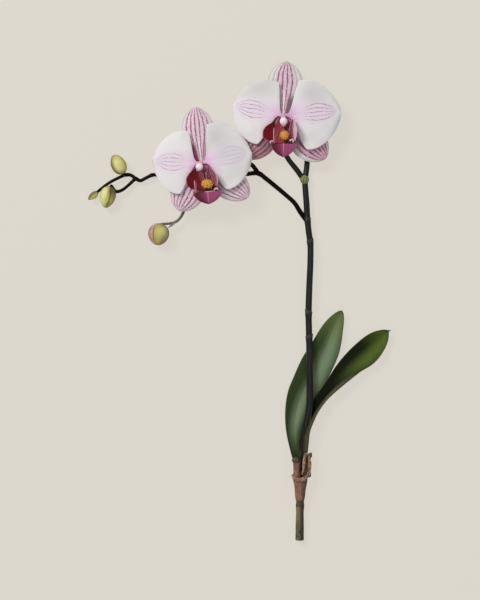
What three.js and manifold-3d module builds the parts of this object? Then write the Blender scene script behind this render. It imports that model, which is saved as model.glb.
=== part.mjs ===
// A cut moth orchid lying on its back: a cane with its dry sheath, two leaves, a dark flower spike
// with one side branch, two open flowers and four buds. Millimetres, +Z up, +Y along the plant.
// Every piece grows from the one it sits on, so a changed size carries the rest with it.
import * as THREE from "three";
import { mergeVertices } from "three/addons/utils/BufferGeometryUtils.js";
import Module from "manifold-3d";

const wasm = await Module();
wasm.setup();

const gap = 0.35; // clearance between two pieces that touch on the real plant
const sliver = 0.03; // cut edges are smoothed by less than this, so no needle-thin faces are left

// Cane, sheath and the dry leaf bases. A route is a list of points in shares of the length.
const cane = {
  length: 46,
  radius: 3.65,
  topRadius: 3.3,
  restHeight: 3.8,
  shape: [[0, 0, 0], [0.004, 0.5, 0.045], [0.01, 1, 0.09]],
};
const sheath = { length: 24, bottomRadius: 4.3, topRadius: 6.3, fromCaneEnd: 33 };
const sheathRim = { radius: 1.05, length: 60 };
const leftStub = { length: 15, radius: 3.2, offset: [-3.2, 10.5, 1.6] };
const leftCollar = { radius: 3.7, height: 2.2 };
const rightStrap = { length: 21, width: 9.5, thickness: 1.7, offset: [3.1, 10.9, 0.6] };
const driedScales = [
  { size: [3.2, 4, 3], offset: [9.4, 31.4, 0.6] },
  { size: [2.8, 5, 3], offset: [8.6, 13.6, -0.9] },
];

// The two leaves. Roll turns the upper face about the midrib, fold closes the blade like a book;
// each eases from its first angle to its last between two shares of the length.
const leftLeaf = {
  length: 143.2,
  width: 29.8,
  thickness: 1.8,
  profile: { claw: 0.1, from: -0.24, to: 0.6, peak: 0.6, power: 1.8, tip: 0.6 },
  roll: [0, 0, 0, 1],
  fold: [24, 10, 0, 0.5],
  shape: [
    [0, 0, 0], [-0.009, 0.077, -0.011], [-0.013, 0.18, -0.024], [0.002, 0.295, -0.034],
    [0.033, 0.398, -0.04], [0.074, 0.478, -0.041], [0.124, 0.579, -0.041],
    [0.182, 0.691, -0.038], [0.231, 0.818, -0.031], [0.288, 0.933, -0.019],
  ],
};
const rightLeaf = {
  length: 138.2,
  width: 29.4,
  thickness: 1.8,
  profile: { claw: 0.34, from: 0.05, to: 0.6, peak: 0.62, power: 1.8, tip: 0.64 },
  roll: [88, 8, 0.25, 0.85],
  fold: [36, 12, 0, 0.7],
  shape: [
    [0, 0, 0], [0.015, 0.089, 0.001], [0.035, 0.181, 0], [0.079, 0.27, 0.001],
    [0.13, 0.349, 0.004], [0.189, 0.427, 0.011], [0.268, 0.533, 0.006],
    [0.362, 0.64, -0.008], [0.462, 0.727, -0.012], [0.547, 0.808, -0.001],
  ],
};

// Stems. "at" is the share of the parent stem's length where a branch or a stalk leaves it.
const spike = {
  length: 321,
  radius: 2.3,
  middleRadius: 3.05,
  topRadius: 2.5,
  shape: [
    [0, 0, 0], [0, 0.032, 0.001], [0, 0.066, 0.002], [0.004, 0.103, 0.005], [0.01, 0.143, 0.01],
    [0.019, 0.182, 0.014], [0.025, 0.228, 0.017], [0.026, 0.273, 0.018], [0.025, 0.349, 0.017],
    [0.024, 0.43, 0.014], [0.023, 0.499, 0.011], [0.025, 0.574, 0.008], [0.028, 0.639, 0.006],
    [0.028, 0.69, 0.004], [0.023, 0.729, 0.002], [0.019, 0.766, 0.001], [0.017, 0.805, -0.001],
    [0.014, 0.842, -0.003], [0.013, 0.87, -0.005], [0.018, 0.91, -0.008],
    [0.02, 0.955, -0.01], [0.019, 0.995, -0.011],
  ],
};
const sideBranch = {
  at: 0.759,
  length: 216.5,
  radius: 2.2,
  topRadius: 1.4,
  shape: [
    [0, 0, 0], [-0.029, 0.037, -0.001], [-0.055, 0.077, -0.002], [-0.088, 0.108, -0.003],
    [-0.133, 0.146, -0.005], [-0.174, 0.179, -0.007], [-0.205, 0.201, -0.008],
    [-0.253, 0.199, -0.01], [-0.345, 0.184, -0.011], [-0.45, 0.178, -0.012],
    [-0.555, 0.184, -0.012], [-0.617, 0.192, -0.011], [-0.647, 0.195, -0.01],
    [-0.676, 0.182, -0.009], [-0.7, 0.171, -0.008], [-0.718, 0.179, -0.007],
    [-0.741, 0.194, -0.006], [-0.762, 0.194, -0.005], [-0.793, 0.181, -0.004],
    [-0.824, 0.165, -0.002], [-0.851, 0.146, -0.001], [-0.879, 0.123, 0.001],
  ],
};
const bracts = [
  { name: "spike_bract_low", at: 0.433, height: 3.2 },
  { name: "spike_bract_middle", at: 0.502, height: 3.2 },
  { name: "spike_bract_high", at: 0.699, height: 3.6 },
  { name: "fork_bract", at: 0.762, height: 3.4 },
];
const bractWall = 0.8;
const nodeBud = { at: 0.877, size: [7.6, 8, 6.4], rise: 2.4 };

const pedicelA = {
  at: 0.293,
  length: 59.5,
  radius: 2.1,
  topRadius: 1.7,
  shape: [
    [0, 0, 0], [-0.09, 0.123, 0.042], [-0.272, 0.185, 0.126], [-0.515, 0.188, 0.227],
    [-0.726, 0.154, 0.303], [-0.856, 0.128, 0.353],
  ],
};
const pedicelB = {
  at: 0.871,
  length: 67.5,
  radius: 2.2,
  topRadius: 1.8,
  shape: [
    [0, 0, 0], [-0.102, 0.147, 0.038], [-0.229, 0.311, 0.075], [-0.324, 0.51, 0.119],
    [-0.327, 0.707, 0.171], [-0.299, 0.871, 0.223],
  ],
};

// Buds on the side branch: size, heading in the plane, and the stalk that carries each one.
const buds = [
  {
    name: "bud_upper", length: 19, width: 13.9, heading: 113, pitch: 4, ribs: 0.02,
    stalk: { at: 0.86, length: 4, radius: 1.7, shape: [[0, 0, 0], [-0.3, 0.15, 0.355], [-0.62, 0.25, 0.705]] },
  },
  {
    name: "bud_lower", length: 20, width: 14.6, heading: -100, pitch: 0, ribs: 0.05,
    stalk: {
      at: 0.815, length: 27, radius: 1.6,
      shape: [
        [0, 0, 0], [-0.224, -0.212, 0.014], [-0.476, -0.403, 0.051],
        [-0.66, -0.44, 0.07], [-0.815, -0.262, 0.093],
      ],
    },
  },
  {
    name: "bud_opening", length: 20, width: 18.8, heading: -95, pitch: 0, ribs: 0.06,
    stalk: {
      at: 0.541, length: 60, radius: 1.7,
      shape: [
        [0, 0, 0], [-0.09, -0.177, 0.008], [-0.19, -0.342, 0.022], [-0.243, -0.498, 0.042],
        [-0.297, -0.605, 0.062], [-0.383, -0.657, 0.078], [-0.497, -0.667, 0.087], [-0.607, -0.668, 0.09],
      ],
    },
  },
];
const tipBud = { name: "bud_tip", length: 11, width: 6, heading: -142, pitch: 0, ribs: 0.04 };
const stalkBract = { at: 0.75, length: 9, width: 3, thickness: 1.2, heading: -142, lift: 0.4 };

// The outline of each kind of petal: it widens from the claw between the shares from and to, and
// rounds off beyond the peak. Wider "left" and "right" halves are as seen by who faces the flower.
const petalOutline = { claw: 0.06, from: 0.06, to: 0.38, peak: 0.44, power: 1.8, tip: 0.66 };
const sepalOutline = { claw: 0.12, from: -0.18, to: 0.62, peak: 0.58, power: 2, tip: 0.62 };
const tepalThickness = 1.25;
const petalForm = { height: 1.9, arch: 1.6, droop: 3.4, roll: 2.6 };
const sepalForm = { height: -0.8, arch: 0.6, droop: 5.2, roll: 2.2 };
const flowerA = {
  name: "flower_a",
  lipTurn: 9,
  columnTurn: -27,
  tepals: [
    { name: "dorsal_sepal", heading: 96, length: 51.6, left: 15, right: 15, outline: sepalOutline, form: sepalForm },
    { name: "left_sepal", heading: -116, length: 46.8, left: 15.4, right: 15.8, outline: sepalOutline, form: sepalForm },
    { name: "right_sepal", heading: -35, length: 52, left: 14.8, right: 14.4, outline: sepalOutline, form: sepalForm },
    { name: "left_petal", heading: 175, length: 44.3, left: 29, right: 27.8, outline: petalOutline, form: petalForm },
    { name: "right_petal", heading: 11.5, length: 47, left: 33.6, right: 28.2, outline: petalOutline, form: petalForm },
  ],
};
const flowerB = {
  name: "flower_b",
  lipTurn: 1,
  columnTurn: 4,
  tepals: [
    { name: "dorsal_sepal", heading: 86.5, length: 50, left: 16.2, right: 16.2, outline: sepalOutline, form: sepalForm },
    { name: "left_sepal", heading: -131, length: 52, left: 16, right: 16, outline: sepalOutline, form: sepalForm },
    { name: "right_sepal", heading: -44.5, length: 54.5, left: 16, right: 17, outline: sepalOutline, form: sepalForm },
    { name: "left_petal", heading: 169, length: 47, left: 29.6, right: 28.8, outline: petalOutline, form: petalForm },
    { name: "right_petal", heading: 3, length: 52.7, left: 31, right: 31.6, outline: petalOutline, form: petalForm },
  ],
};
const column = { radius: 2.3, topRadius: 2.5, length: 8.6, shape: [[0, 0, 0], [0, -0.18, 0.45], [0, -0.46, 0.82]] };
const antherCap = { size: [6.8, 7.6, 6], rise: 1.6 };
const lip = {
  start: [0, -6.2, 4.4],
  length: 31.4,
  width: 25,
  thickness: 1.6,
  outline: { claw: 0.62, from: 0.5, to: 0.66, peak: 0.66, power: 1.8, tip: 0.7 },
  form: { height: 0, arch: 1.4, droop: -2, roll: 1.6 },
};
// Where a side lobe or the callus stands on the middle lobe: shares along it and across it.
const sideLobes = [
  { foot: [0.58, 0.74], length: 18.6, width: 11.4, heading: 102, turn: 24, lean: 8, cup: -3 },
  { foot: [0.58, -0.72], length: 19.4, width: 11.4, heading: 87, turn: -66, lean: 8, cup: -3 },
];
const sideLobeOutline = { claw: 0.5, from: -0.1, to: 0.55, peak: 0.5, power: 2, tip: 0.6 };
const callus = { foot: [0.38, -0.03], size: [8.4, 7.6, 6.4], sunk: 0.9 };

// Fineness of the meshes.
const bladeSides = 16;
const bladeSteps = 12;
const leafSteps = 20;
const stemSides = 10;
const stemStep = 9;

const radians = (degrees) => (degrees * Math.PI) / 180;
const shareBetween = (x, low, high) => Math.min(1, Math.max(0, (x - low) / (high - low)));
const smoothBetween = (x, low, high) => THREE.MathUtils.smoothstep(x, low, high);
const easeTo = ([first, last, from, to], s) => first + (last - first) * smoothBetween(s, from, to);

// The share of the full half-width that a blade has at the share s of its length.
function outlineAt(o, s) {
  const widening = o.claw + (1 - o.claw) * smoothBetween(s, o.from, o.to);
  const beyond = shareBetween(s, o.peak, 1);
  return widening * Math.pow(1 - Math.pow(beyond, o.power), o.tip);
}

// A closed blade: a sphere whose poles become the two ends and whose equator becomes the margin.
// place(s, t) gives the middle surface for s along and t across (-1 to 1), and facing its normal.
function bladeGeometry(place, facing, thickness, steps = bladeSteps) {
  const geometry = new THREE.SphereGeometry(1, bladeSides, steps);
  const position = geometry.attributes.position;
  for (let i = 0; i < position.count; i++) {
    const p = new THREE.Vector3().fromBufferAttribute(position, i);
    const s = (1 + p.y) / 2;
    const ring = Math.sqrt(Math.max(0, 1 - p.y * p.y));
    const t = ring > 1e-4 ? p.x / ring : 0;
    const moved = place(s, t).addScaledVector(facing(s), (p.z * thickness) / 2);
    position.setXYZ(i, moved.x, moved.y, moved.z);
  }
  return geometry;
}

// A petal, sepal or lip in its own frame: +Y from claw to tip, +Z the face that one looks at.
// The middle line arches forward and droops back towards the tip, and the margins roll back.
function tepalSurface({ length, left, right, outline, form }) {
  return (s, t) => {
    const x = t * (t < 0 ? left : right) * outlineAt(outline, s);
    const z = form.height + form.arch * Math.sin(Math.PI * s) - form.droop * s * s - form.roll * t * t * s;
    return new THREE.Vector3(x, s * length, z);
  };
}

function tepalGeometry(tepal) {
  const up = new THREE.Vector3(0, 0, 1);
  return bladeGeometry(tepalSurface(tepal), () => up, tepal.thickness ?? tepalThickness);
}

// A route in shares of a length becomes a smooth curve in millimetres from a start point.
function routeCurve(start, length, shape) {
  const points = shape.map(([x, y, z]) => new THREE.Vector3(x, y, z).multiplyScalar(length).add(start));
  return new THREE.CatmullRomCurve3(points, false, "centripetal");
}

// The tangent, upper face and right-hand side of a curve, with the face turned by roll degrees.
function frameAt(curve, s, roll = 0) {
  const along = curve.getTangentAt(s);
  const face = new THREE.Vector3(0, 0, 1);
  face.addScaledVector(along, -face.dot(along)).normalize();
  const side = new THREE.Vector3().crossVectors(along, face);
  return {
    along,
    face: face.clone().applyAxisAngle(along, radians(-roll)),
    side: side.clone().applyAxisAngle(along, radians(-roll)),
  };
}

// A leaf along a curve, rolled and folded about its midrib by amounts that ease along its length.
function leafGeometry(curve, leaf, steps = leafSteps) {
  const place = (s, t) => {
    const { face, side } = frameAt(curve, s, easeTo(leaf.roll, s));
    const fold = radians(easeTo(leaf.fold, s));
    const reach = (leaf.width / 2) * outlineAt(leaf.profile, s);
    const lift = Math.sqrt(t * t + 0.04) - 0.2;
    return curve
      .getPointAt(s)
      .addScaledVector(side, reach * t * Math.cos(fold))
      .addScaledVector(face, reach * lift * Math.sin(fold));
  };
  return bladeGeometry(place, (s) => frameAt(curve, s, easeTo(leaf.roll, s)).face, leaf.thickness, steps);
}

// A round stem along a curve: a cylinder bent onto it, with its radius given along its length.
function stemGeometry(curve, radiusAt, sides = stemSides, step = stemStep) {
  const steps = Math.max(2, Math.round(curve.getLength() / step));
  const geometry = new THREE.CylinderGeometry(1, 1, 1, sides, steps);
  const position = geometry.attributes.position;
  for (let i = 0; i < position.count; i++) {
    const p = new THREE.Vector3().fromBufferAttribute(position, i);
    const s = Math.min(1, Math.max(0, p.y + 0.5));
    const { face, side } = frameAt(curve, s);
    const radius = radiusAt(s);
    const moved = curve.getPointAt(s).addScaledVector(side, p.x * radius).addScaledVector(face, p.z * radius);
    position.setXYZ(i, moved.x, moved.y, moved.z);
  }
  return geometry;
}

const taper = (first, last) => (s) => first + (last - first) * s;

// An egg shape from its base at the origin to its tip on +Y, with three faint ribs.
function budGeometry({ length, width, ribs }) {
  const geometry = new THREE.SphereGeometry(1, bladeSides - 2, bladeSteps - 2);
  const position = geometry.attributes.position;
  for (let i = 0; i < position.count; i++) {
    const p = new THREE.Vector3().fromBufferAttribute(position, i);
    const s = (1 + p.y) / 2;
    const around = Math.atan2(p.z, p.x);
    const radius = (width / 2) * (1 + ribs * Math.cos(3 * around)) * (1 + 0.12 * (0.5 - s));
    position.setXYZ(i, p.x * radius, s * length, p.z * radius);
  }
  return geometry;
}

// An ellipsoid of the given size about the origin.
const pebbleGeometry = (size) => new THREE.SphereGeometry(0.5, 10, 8).scale(...size);

// A mesh's geometry as a manifold-3d solid, moved by a matrix.
function solidOf(geometry, matrix = new THREE.Matrix4()) {
  const bare = new THREE.BufferGeometry();
  bare.setAttribute("position", geometry.getAttribute("position").clone());
  if (geometry.index) bare.setIndex(geometry.index.clone());
  const merged = mergeVertices(bare.applyMatrix4(matrix), 1e-3);
  const triVerts = new Uint32Array(merged.index.array);
  return new wasm.Manifold(new wasm.Mesh({ numProp: 3, vertProperties: merged.attributes.position.array, triVerts }));
}

function geometryOf(solid) {
  const mesh = solid.getMesh();
  return new THREE.BufferGeometry()
    .setAttribute("position", new THREE.BufferAttribute(new Float32Array(mesh.vertProperties), 3))
    .setIndex(new THREE.BufferAttribute(new Uint32Array(mesh.triVerts), 1));
}

// The same geometry grown outwards by a distance all round.
function grownGeometry(geometry, distance) {
  const bare = new THREE.BufferGeometry();
  bare.setAttribute("position", geometry.getAttribute("position").clone());
  if (geometry.index) bare.setIndex(geometry.index.clone());
  const merged = mergeVertices(bare, 1e-3);
  merged.computeVertexNormals();
  const { position, normal } = merged.attributes;
  for (let i = 0; i < position.count; i++) {
    const n = new THREE.Vector3().fromBufferAttribute(normal, i).multiplyScalar(distance);
    position.setXYZ(i, position.getX(i) + n.x, position.getY(i) + n.y, position.getZ(i) + n.z);
  }
  return merged;
}

const finish = {
  cane: { color: "#4d4634", roughness: 0.55 },
  dry: { color: "#8a6a50", roughness: 0.8 },
  leaf: { color: "#41562c", roughness: 0.42 },
  collar: { color: "#5a6632", roughness: 0.5 },
  spike: { color: "#2a2826", roughness: 0.45 },
  bract: { color: "#3b352b", roughness: 0.6 },
  greenBud: { color: "#b4b062", roughness: 0.45 },
  petal: { color: "#ece4e8", roughness: 0.55 },
  sepal: { color: "#c99bad", roughness: 0.55 },
  column: { color: "#ecd0da", roughness: 0.4 },
  lip: { color: "#7d2444", roughness: 0.4 },
};
const orchid = new THREE.Group();

function addPiece(group, name, geometry, look) {
  const piece = new THREE.Mesh(geometry, new THREE.MeshStandardMaterial({ ...finish[look], metalness: 0 }));
  piece.name = name;
  group.add(piece);
  return piece;
}

// Turns a piece whose length lies on +Y to a heading in the plane, pitched up or down.
function aim(piece, heading, pitch = 0) {
  piece.rotation.order = "ZYX";
  piece.rotation.set(radians(pitch), 0, radians(heading - 90));
  return piece;
}

const at = (vector, offset) => vector.clone().add(new THREE.Vector3(...offset));

// Stems first, so that what sits on them gives way to them.
const caneCurve = routeCurve(new THREE.Vector3(0, 0, cane.restHeight), cane.length, cane.shape);
addPiece(orchid, "cane", stemGeometry(caneCurve, taper(cane.radius, cane.topRadius)), "cane");
const caneTop = caneCurve.getPointAt(1);

const spikeStart = at(caneTop, [0.3, gap, -1.6]);
const spikeCurve = routeCurve(spikeStart, spike.length, spike.shape);
const spikeRadius = (s) => {
  const swelling = smoothBetween(s, 0, 0.22);
  return taper(spike.radius, spike.middleRadius)(swelling) - (spike.middleRadius - spike.topRadius) * s * s;
};
addPiece(orchid, "flower_spike", stemGeometry(spikeCurve, spikeRadius), "spike");

const branchCurve = routeCurve(spikeCurve.getPointAt(sideBranch.at), sideBranch.length, sideBranch.shape);
const branchRadius = taper(sideBranch.radius, sideBranch.topRadius);
addPiece(orchid, "side_branch", stemGeometry(branchCurve, branchRadius, 8, 7), "spike");

// The sheath closes round the cane's top and the foot of the spike.
const sheathFoot = caneCurve.getPointAt(sheath.fromCaneEnd / cane.length);
const sheathCurve = new THREE.LineCurve3(sheathFoot, at(sheathFoot, [0.3, sheath.length, 1]));
const sheathTop = sheathCurve.getPoint(1);
addPiece(orchid, "lower_sheath", stemGeometry(sheathCurve, taper(sheath.bottomRadius, sheath.topRadius), 14), "dry");

// The left leaf on its dry stub, with the green collar between them.
const stubFoot = at(caneTop, leftStub.offset);
const stubCurve = new THREE.LineCurve3(stubFoot, at(stubFoot, [-0.2, leftStub.length, -0.3]));
addPiece(orchid, "left_leaf_stub", stemGeometry(stubCurve, () => leftStub.radius, 12), "dry");
const collarCurve = new THREE.LineCurve3(
  at(stubCurve.getPoint(1), [0, gap, 0]),
  at(stubCurve.getPoint(1), [0, gap + leftCollar.height, 0]),
);
addPiece(orchid, "left_leaf_collar", stemGeometry(collarCurve, () => leftCollar.radius, 12, 2), "collar");
const leftLeafCurve = routeCurve(at(collarCurve.getPoint(1), [0, gap, 0]), leftLeaf.length, leftLeaf.shape);
addPiece(orchid, "left_leaf", leafGeometry(leftLeafCurve, leftLeaf), "leaf");

// The right leaf clasps the spike, standing on a dry strap folded round the spike's foot.
const strapFoot = at(caneTop, rightStrap.offset);
const strapCurve = routeCurve(strapFoot, rightStrap.length, [
  [0, 0, 0], [0.107, 0.335, 0.01], [0.144, 0.669, 0.019], [0.156, 0.99, 0.019],
]);
const strapLeaf = {
  ...rightStrap,
  profile: { claw: 0.8, from: 0, to: 0.5, peak: 0.9, power: 2, tip: 0.3 },
  roll: [88, 88, 0, 1],
  fold: [36, 36, 0, 1],
};
addPiece(orchid, "right_leaf_strap", leafGeometry(strapCurve, strapLeaf, 8), "dry");
const rightLeafCurve = routeCurve(at(strapCurve.getPoint(1), [0, gap, 0]), rightLeaf.length, rightLeaf.shape);
addPiece(orchid, "right_leaf", leafGeometry(rightLeafCurve, rightLeaf), "leaf");

// The sheath's fibrous rim runs round its mouth, up the strap's back and down its near edge.
const rimCurve = routeCurve(sheathTop, sheathRim.length, [
  [-0.118, 0.035, 0.01], [-0.082, -0.012, 0.088], [-0.012, -0.03, 0.122], [0.062, -0.008, 0.1],
  [0.122, 0.06, 0.07], [0.138, 0.18, 0.055], [0.128, 0.29, 0.06], [0.1, 0.352, 0.083],
  [0.066, 0.326, 0.112], [0.05, 0.23, 0.118], [0.04, 0.12, 0.115], [0.022, 0.055, 0.105],
]);
addPiece(orchid, "sheath_rim", stemGeometry(rimCurve, () => sheathRim.radius, 8, 2.6), "dry");
driedScales.forEach(({ size, offset }, i) => {
  const scale = addPiece(orchid, ["dried_scale_upper", "dried_scale_lower"][i], pebbleGeometry(size), "bract");
  scale.position.copy(at(caneTop, offset));
});

// Bracts ring the spike at its nodes: a closed wall turned about the stem's own direction.
bracts.forEach(({ name, at: share, height }) => {
  const inner = spikeRadius(share) + gap;
  const outer = inner + bractWall;
  const profile = [[inner, -height / 2], [outer, -height / 2], [inner + 0.3, height / 2], [inner, height / 2]];
  const points = [...profile, profile[0]].map(([x, y]) => new THREE.Vector2(x, y));
  const ring = addPiece(orchid, name, new THREE.LatheGeometry(points, 12), "bract");
  ring.position.copy(spikeCurve.getPointAt(share));
  ring.quaternion.setFromUnitVectors(new THREE.Vector3(0, 1, 0), spikeCurve.getTangentAt(share));
});
const nodeBudPiece = addPiece(orchid, "node_bud", pebbleGeometry(nodeBud.size), "greenBud");
nodeBudPiece.position.copy(at(spikeCurve.getPointAt(nodeBud.at), [-0.6, 0, nodeBud.rise]));

// A flower in its own frame: +Z is where it looks, +Y its top. Tepals spread from its middle.
function addFlower(flower, middle) {
  const group = new THREE.Group();
  group.position.copy(middle);
  orchid.add(group);
  const lipGroup = new THREE.Group();
  lipGroup.rotation.z = radians(flower.lipTurn);
  group.add(lipGroup);

  const columnGroup = new THREE.Group();
  columnGroup.rotation.z = radians(flower.columnTurn);
  group.add(columnGroup);

  const columnCurve = routeCurve(new THREE.Vector3(), column.length, column.shape);
  const columnGeometry = stemGeometry(columnCurve, taper(column.radius, column.topRadius), 10, 3);
  addPiece(columnGroup, flower.name + "_column", columnGeometry, "column");
  const cap = addPiece(columnGroup, flower.name + "_anther_cap", pebbleGeometry(antherCap.size), "column");
  cap.position.copy(at(columnCurve.getPoint(1), [0, -0.6, antherCap.rise]));
  addPiece(lipGroup, flower.name + "_lip", lipGeometry(), "lip");

  for (const tepal of [...flower.tepals].reverse()) {
    const look = tepal.outline === petalOutline ? "petal" : "sepal";
    aim(addPiece(group, flower.name + "_" + tepal.name, tepalGeometry(tepal), look), tepal.heading);
  }
}

// The lip grew as one piece: a clawed middle lobe, two upright side lobes and the callus between.
function lipGeometry() {
  const middleLobe = { ...lip, left: lip.width / 2, right: lip.width / 2 };
  const placing = new THREE.Matrix4().makeRotationZ(Math.PI).setPosition(...lip.start);
  const footOn = (share) => tepalSurface(middleLobe)(...share).applyMatrix4(placing);
  let whole = solidOf(tepalGeometry(middleLobe), placing);
  for (const lobe of sideLobes) {
    const blade = tepalGeometry({
      length: lobe.length,
      left: lobe.width / 2,
      right: lobe.width / 2,
      outline: sideLobeOutline,
      form: { height: 0, arch: 0, droop: 0, roll: lobe.cup },
      thickness: lip.thickness,
    });
    blade.rotateY(radians(lobe.turn)).rotateX(radians(lobe.lean));
    blade.rotateZ(radians(lobe.heading - 90)).translate(...footOn(lobe.foot).toArray());
    whole = whole.add(solidOf(blade));
  }
  const crest = pebbleGeometry(callus.size).translate(...footOn(callus.foot).toArray());
  crest.translate(0, 0, (lip.thickness + callus.size[2]) / 2 - callus.sunk);
  return geometryOf(whole.add(solidOf(crest)).simplify(sliver));
}

const pedicelCurveA = routeCurve(branchCurve.getPointAt(pedicelA.at), pedicelA.length, pedicelA.shape);
const pedicelCurveB = routeCurve(spikeCurve.getPointAt(pedicelB.at), pedicelB.length, pedicelB.shape);
const flowerBackGap = [0, 0, 1.6];
addFlower(flowerA, at(pedicelCurveA.getPoint(1), flowerBackGap));
addFlower(flowerB, at(pedicelCurveB.getPoint(1), flowerBackGap));

// Buds, then the stalks and pedicels that end at them and at the flowers' backs.
const stalks = [];
for (const bud of buds) {
  const curve = routeCurve(branchCurve.getPointAt(bud.stalk.at), bud.stalk.length, bud.stalk.shape);
  const piece = aim(addPiece(orchid, bud.name, budGeometry(bud), "greenBud"), bud.heading, bud.pitch);
  piece.position.copy(curve.getPoint(1));
  stalks.push([bud.name + "_stalk", curve, bud.stalk.radius, bud.stalk.radius]);
}
aim(addPiece(orchid, tipBud.name, budGeometry(tipBud), "greenBud"), tipBud.heading, tipBud.pitch)
  .position.copy(branchCurve.getPoint(1));
stalks.push(["flower_a_pedicel", pedicelCurveA, pedicelA.radius, pedicelA.topRadius]);
stalks.push(["flower_b_pedicel", pedicelCurveB, pedicelB.radius, pedicelB.topRadius]);
for (const [name, curve, first, last] of stalks) {
  addPiece(orchid, name, stemGeometry(curve, taper(first, last), 8, 6), "spike");
}

// A slender bract beside the opening bud, springing from the same stalk.
const [, openingStalk] = stalks.find(([name]) => name === "bud_opening_stalk");
const slender = tepalGeometry({
  ...stalkBract,
  left: stalkBract.width / 2,
  right: stalkBract.width / 2,
  outline: sepalOutline,
  form: { height: 0, arch: 0.4, droop: 0, roll: 0.3 },
});
aim(addPiece(orchid, "stalk_bract", slender, "bract"), stalkBract.heading)
  .position.copy(at(openingStalk.getPointAt(stalkBract.at), [0, 0, stalkBract.lift]));

// Each piece gives way, with the gap all round, to the pieces made before it.
orchid.updateMatrixWorld(true);
const made = [];
orchid.traverse((piece) => {
  if (!piece.isMesh) return;
  const box = new THREE.Box3().setFromObject(piece).expandByScalar(gap);
  const toLocal = piece.matrixWorld.clone().invert();
  const whole = solidOf(piece.geometry);
  let solid = whole;
  for (const earlier of made) {
    if (!earlier.box.intersectsBox(box)) continue;
    const matrix = toLocal.clone().multiply(earlier.piece.matrixWorld);
    const grown = solidOf(earlier.grown, matrix);
    if (solid.intersect(grown).volume() > 0) solid = solid.subtract(grown);
  }
  const grown = grownGeometry(piece.geometry, gap);
  if (solid !== whole) {
    const bodies = solid.decompose().sort((a, b) => b.volume() - a.volume());
    piece.geometry = geometryOf(bodies[0].simplify(sliver));
  }
  made.push({ piece, box, grown });
});

// The origin is under the middle of the whole plant, on the surface it lies on.
const extent = new THREE.Box3();
orchid.traverse((piece) => piece.isMesh && extent.expandByObject(piece, true));
const middle = extent.getCenter(new THREE.Vector3());
orchid.position.set(-middle.x, -middle.y, -extent.min.z);

export default orchid;
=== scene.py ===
import math

import bpy
import numpy as np
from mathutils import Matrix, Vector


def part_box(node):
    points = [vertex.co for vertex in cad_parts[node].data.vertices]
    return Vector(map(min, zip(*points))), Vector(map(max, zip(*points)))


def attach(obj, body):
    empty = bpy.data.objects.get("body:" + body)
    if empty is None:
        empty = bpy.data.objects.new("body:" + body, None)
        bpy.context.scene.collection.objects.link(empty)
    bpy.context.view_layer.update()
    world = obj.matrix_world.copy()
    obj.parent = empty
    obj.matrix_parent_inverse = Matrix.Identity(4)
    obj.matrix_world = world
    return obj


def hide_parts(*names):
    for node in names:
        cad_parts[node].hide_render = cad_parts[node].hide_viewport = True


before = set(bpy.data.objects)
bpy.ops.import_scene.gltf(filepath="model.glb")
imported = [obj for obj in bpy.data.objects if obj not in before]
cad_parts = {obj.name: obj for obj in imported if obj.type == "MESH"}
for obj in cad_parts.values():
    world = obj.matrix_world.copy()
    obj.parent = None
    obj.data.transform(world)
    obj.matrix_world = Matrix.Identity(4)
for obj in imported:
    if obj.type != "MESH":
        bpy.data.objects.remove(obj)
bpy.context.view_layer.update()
print("frame in: %d nodes" % len(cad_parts))

# All shapes are worked out in millimetres from the middle of the cane's cut end.
caneCorner = np.array((-3.472, -0.327, 0.165))  # the cane's lowest corner, seen from that point
plantOrigin = np.array(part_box("cane")[0]) * 1000 - caneCorner


def ease(x, low, high):
    # u = how far x has come from low to high, held to 0..1; the result is 3u² - 2u³
    u = np.clip((x - low) / (high - low), 0, 1)
    return u * u * (3 - 2 * u)


def bell(x, middle, width):
    # e to the minus square of the distance from the middle in widths
    return np.exp(-(((x - middle) / width) ** 2))


def hermite(knots, values, x):
    # cubic pieces through the values, with slopes from the neighbouring differences
    slopes = np.gradient(values, knots, axis=0)
    i = np.clip(np.searchsorted(knots, x, side="right") - 1, 0, len(knots) - 2)
    pad = (...,) + (None,) * (values.ndim - 1)
    step = (knots[i + 1] - knots[i])[pad]
    u = np.clip((x - knots[i])[pad] / step, 0, 1)
    ends = (1 + 2 * u) * (1 - u) ** 2 * values[i] + u * u * (3 - 2 * u) * values[i + 1]
    return ends + step * (u * (1 - u) ** 2 * slopes[i] + u * u * (u - 1) * slopes[i + 1])


def ring(count):
    # even turns round a piece, as one row
    return np.linspace(0, 2 * np.pi, count, endpoint=False)[None]


def rise(count, inset):
    # shares from end to end as one column, (1 - cos πv) / 2, so that they crowd at both ends
    return ((1 - np.cos(np.pi * np.linspace(inset, 1 - inset, count))) / 2)[:, None]


def readAt(line, s):
    # a line of evenly spaced points, read at the shares s
    steps = np.linspace(0, 1, len(line))
    return np.stack([np.interp(s, steps, line[:, k]) for k in range(3)], axis=-1)


def drawn(stations, s):
    # a smooth line through (share, value) pairs, read at the shares s
    at, value = np.array(stations, float).T
    return hermite(at, value, s)


def routeThrough(points, count):
    # a smooth line through the points, its knots spaced by the root of each chord, read off at
    # even steps of its own length
    points = np.array(points, float)
    knots = np.concatenate([[0], np.cumsum(np.linalg.norm(np.diff(points, axis=0), axis=1) ** 0.5)])
    fine = hermite(knots, points, np.linspace(0, knots[-1], 60 * len(points)))
    run = np.concatenate([[0], np.cumsum(np.linalg.norm(np.diff(fine, axis=0), axis=1))])
    even = np.linspace(0, run[-1], count)
    return np.stack([np.interp(even, run, fine[:, k]) for k in range(3)], axis=1)


def unit(v):
    # each vector divided by its own length
    return v / np.linalg.norm(v, axis=-1, keepdims=True)


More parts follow.
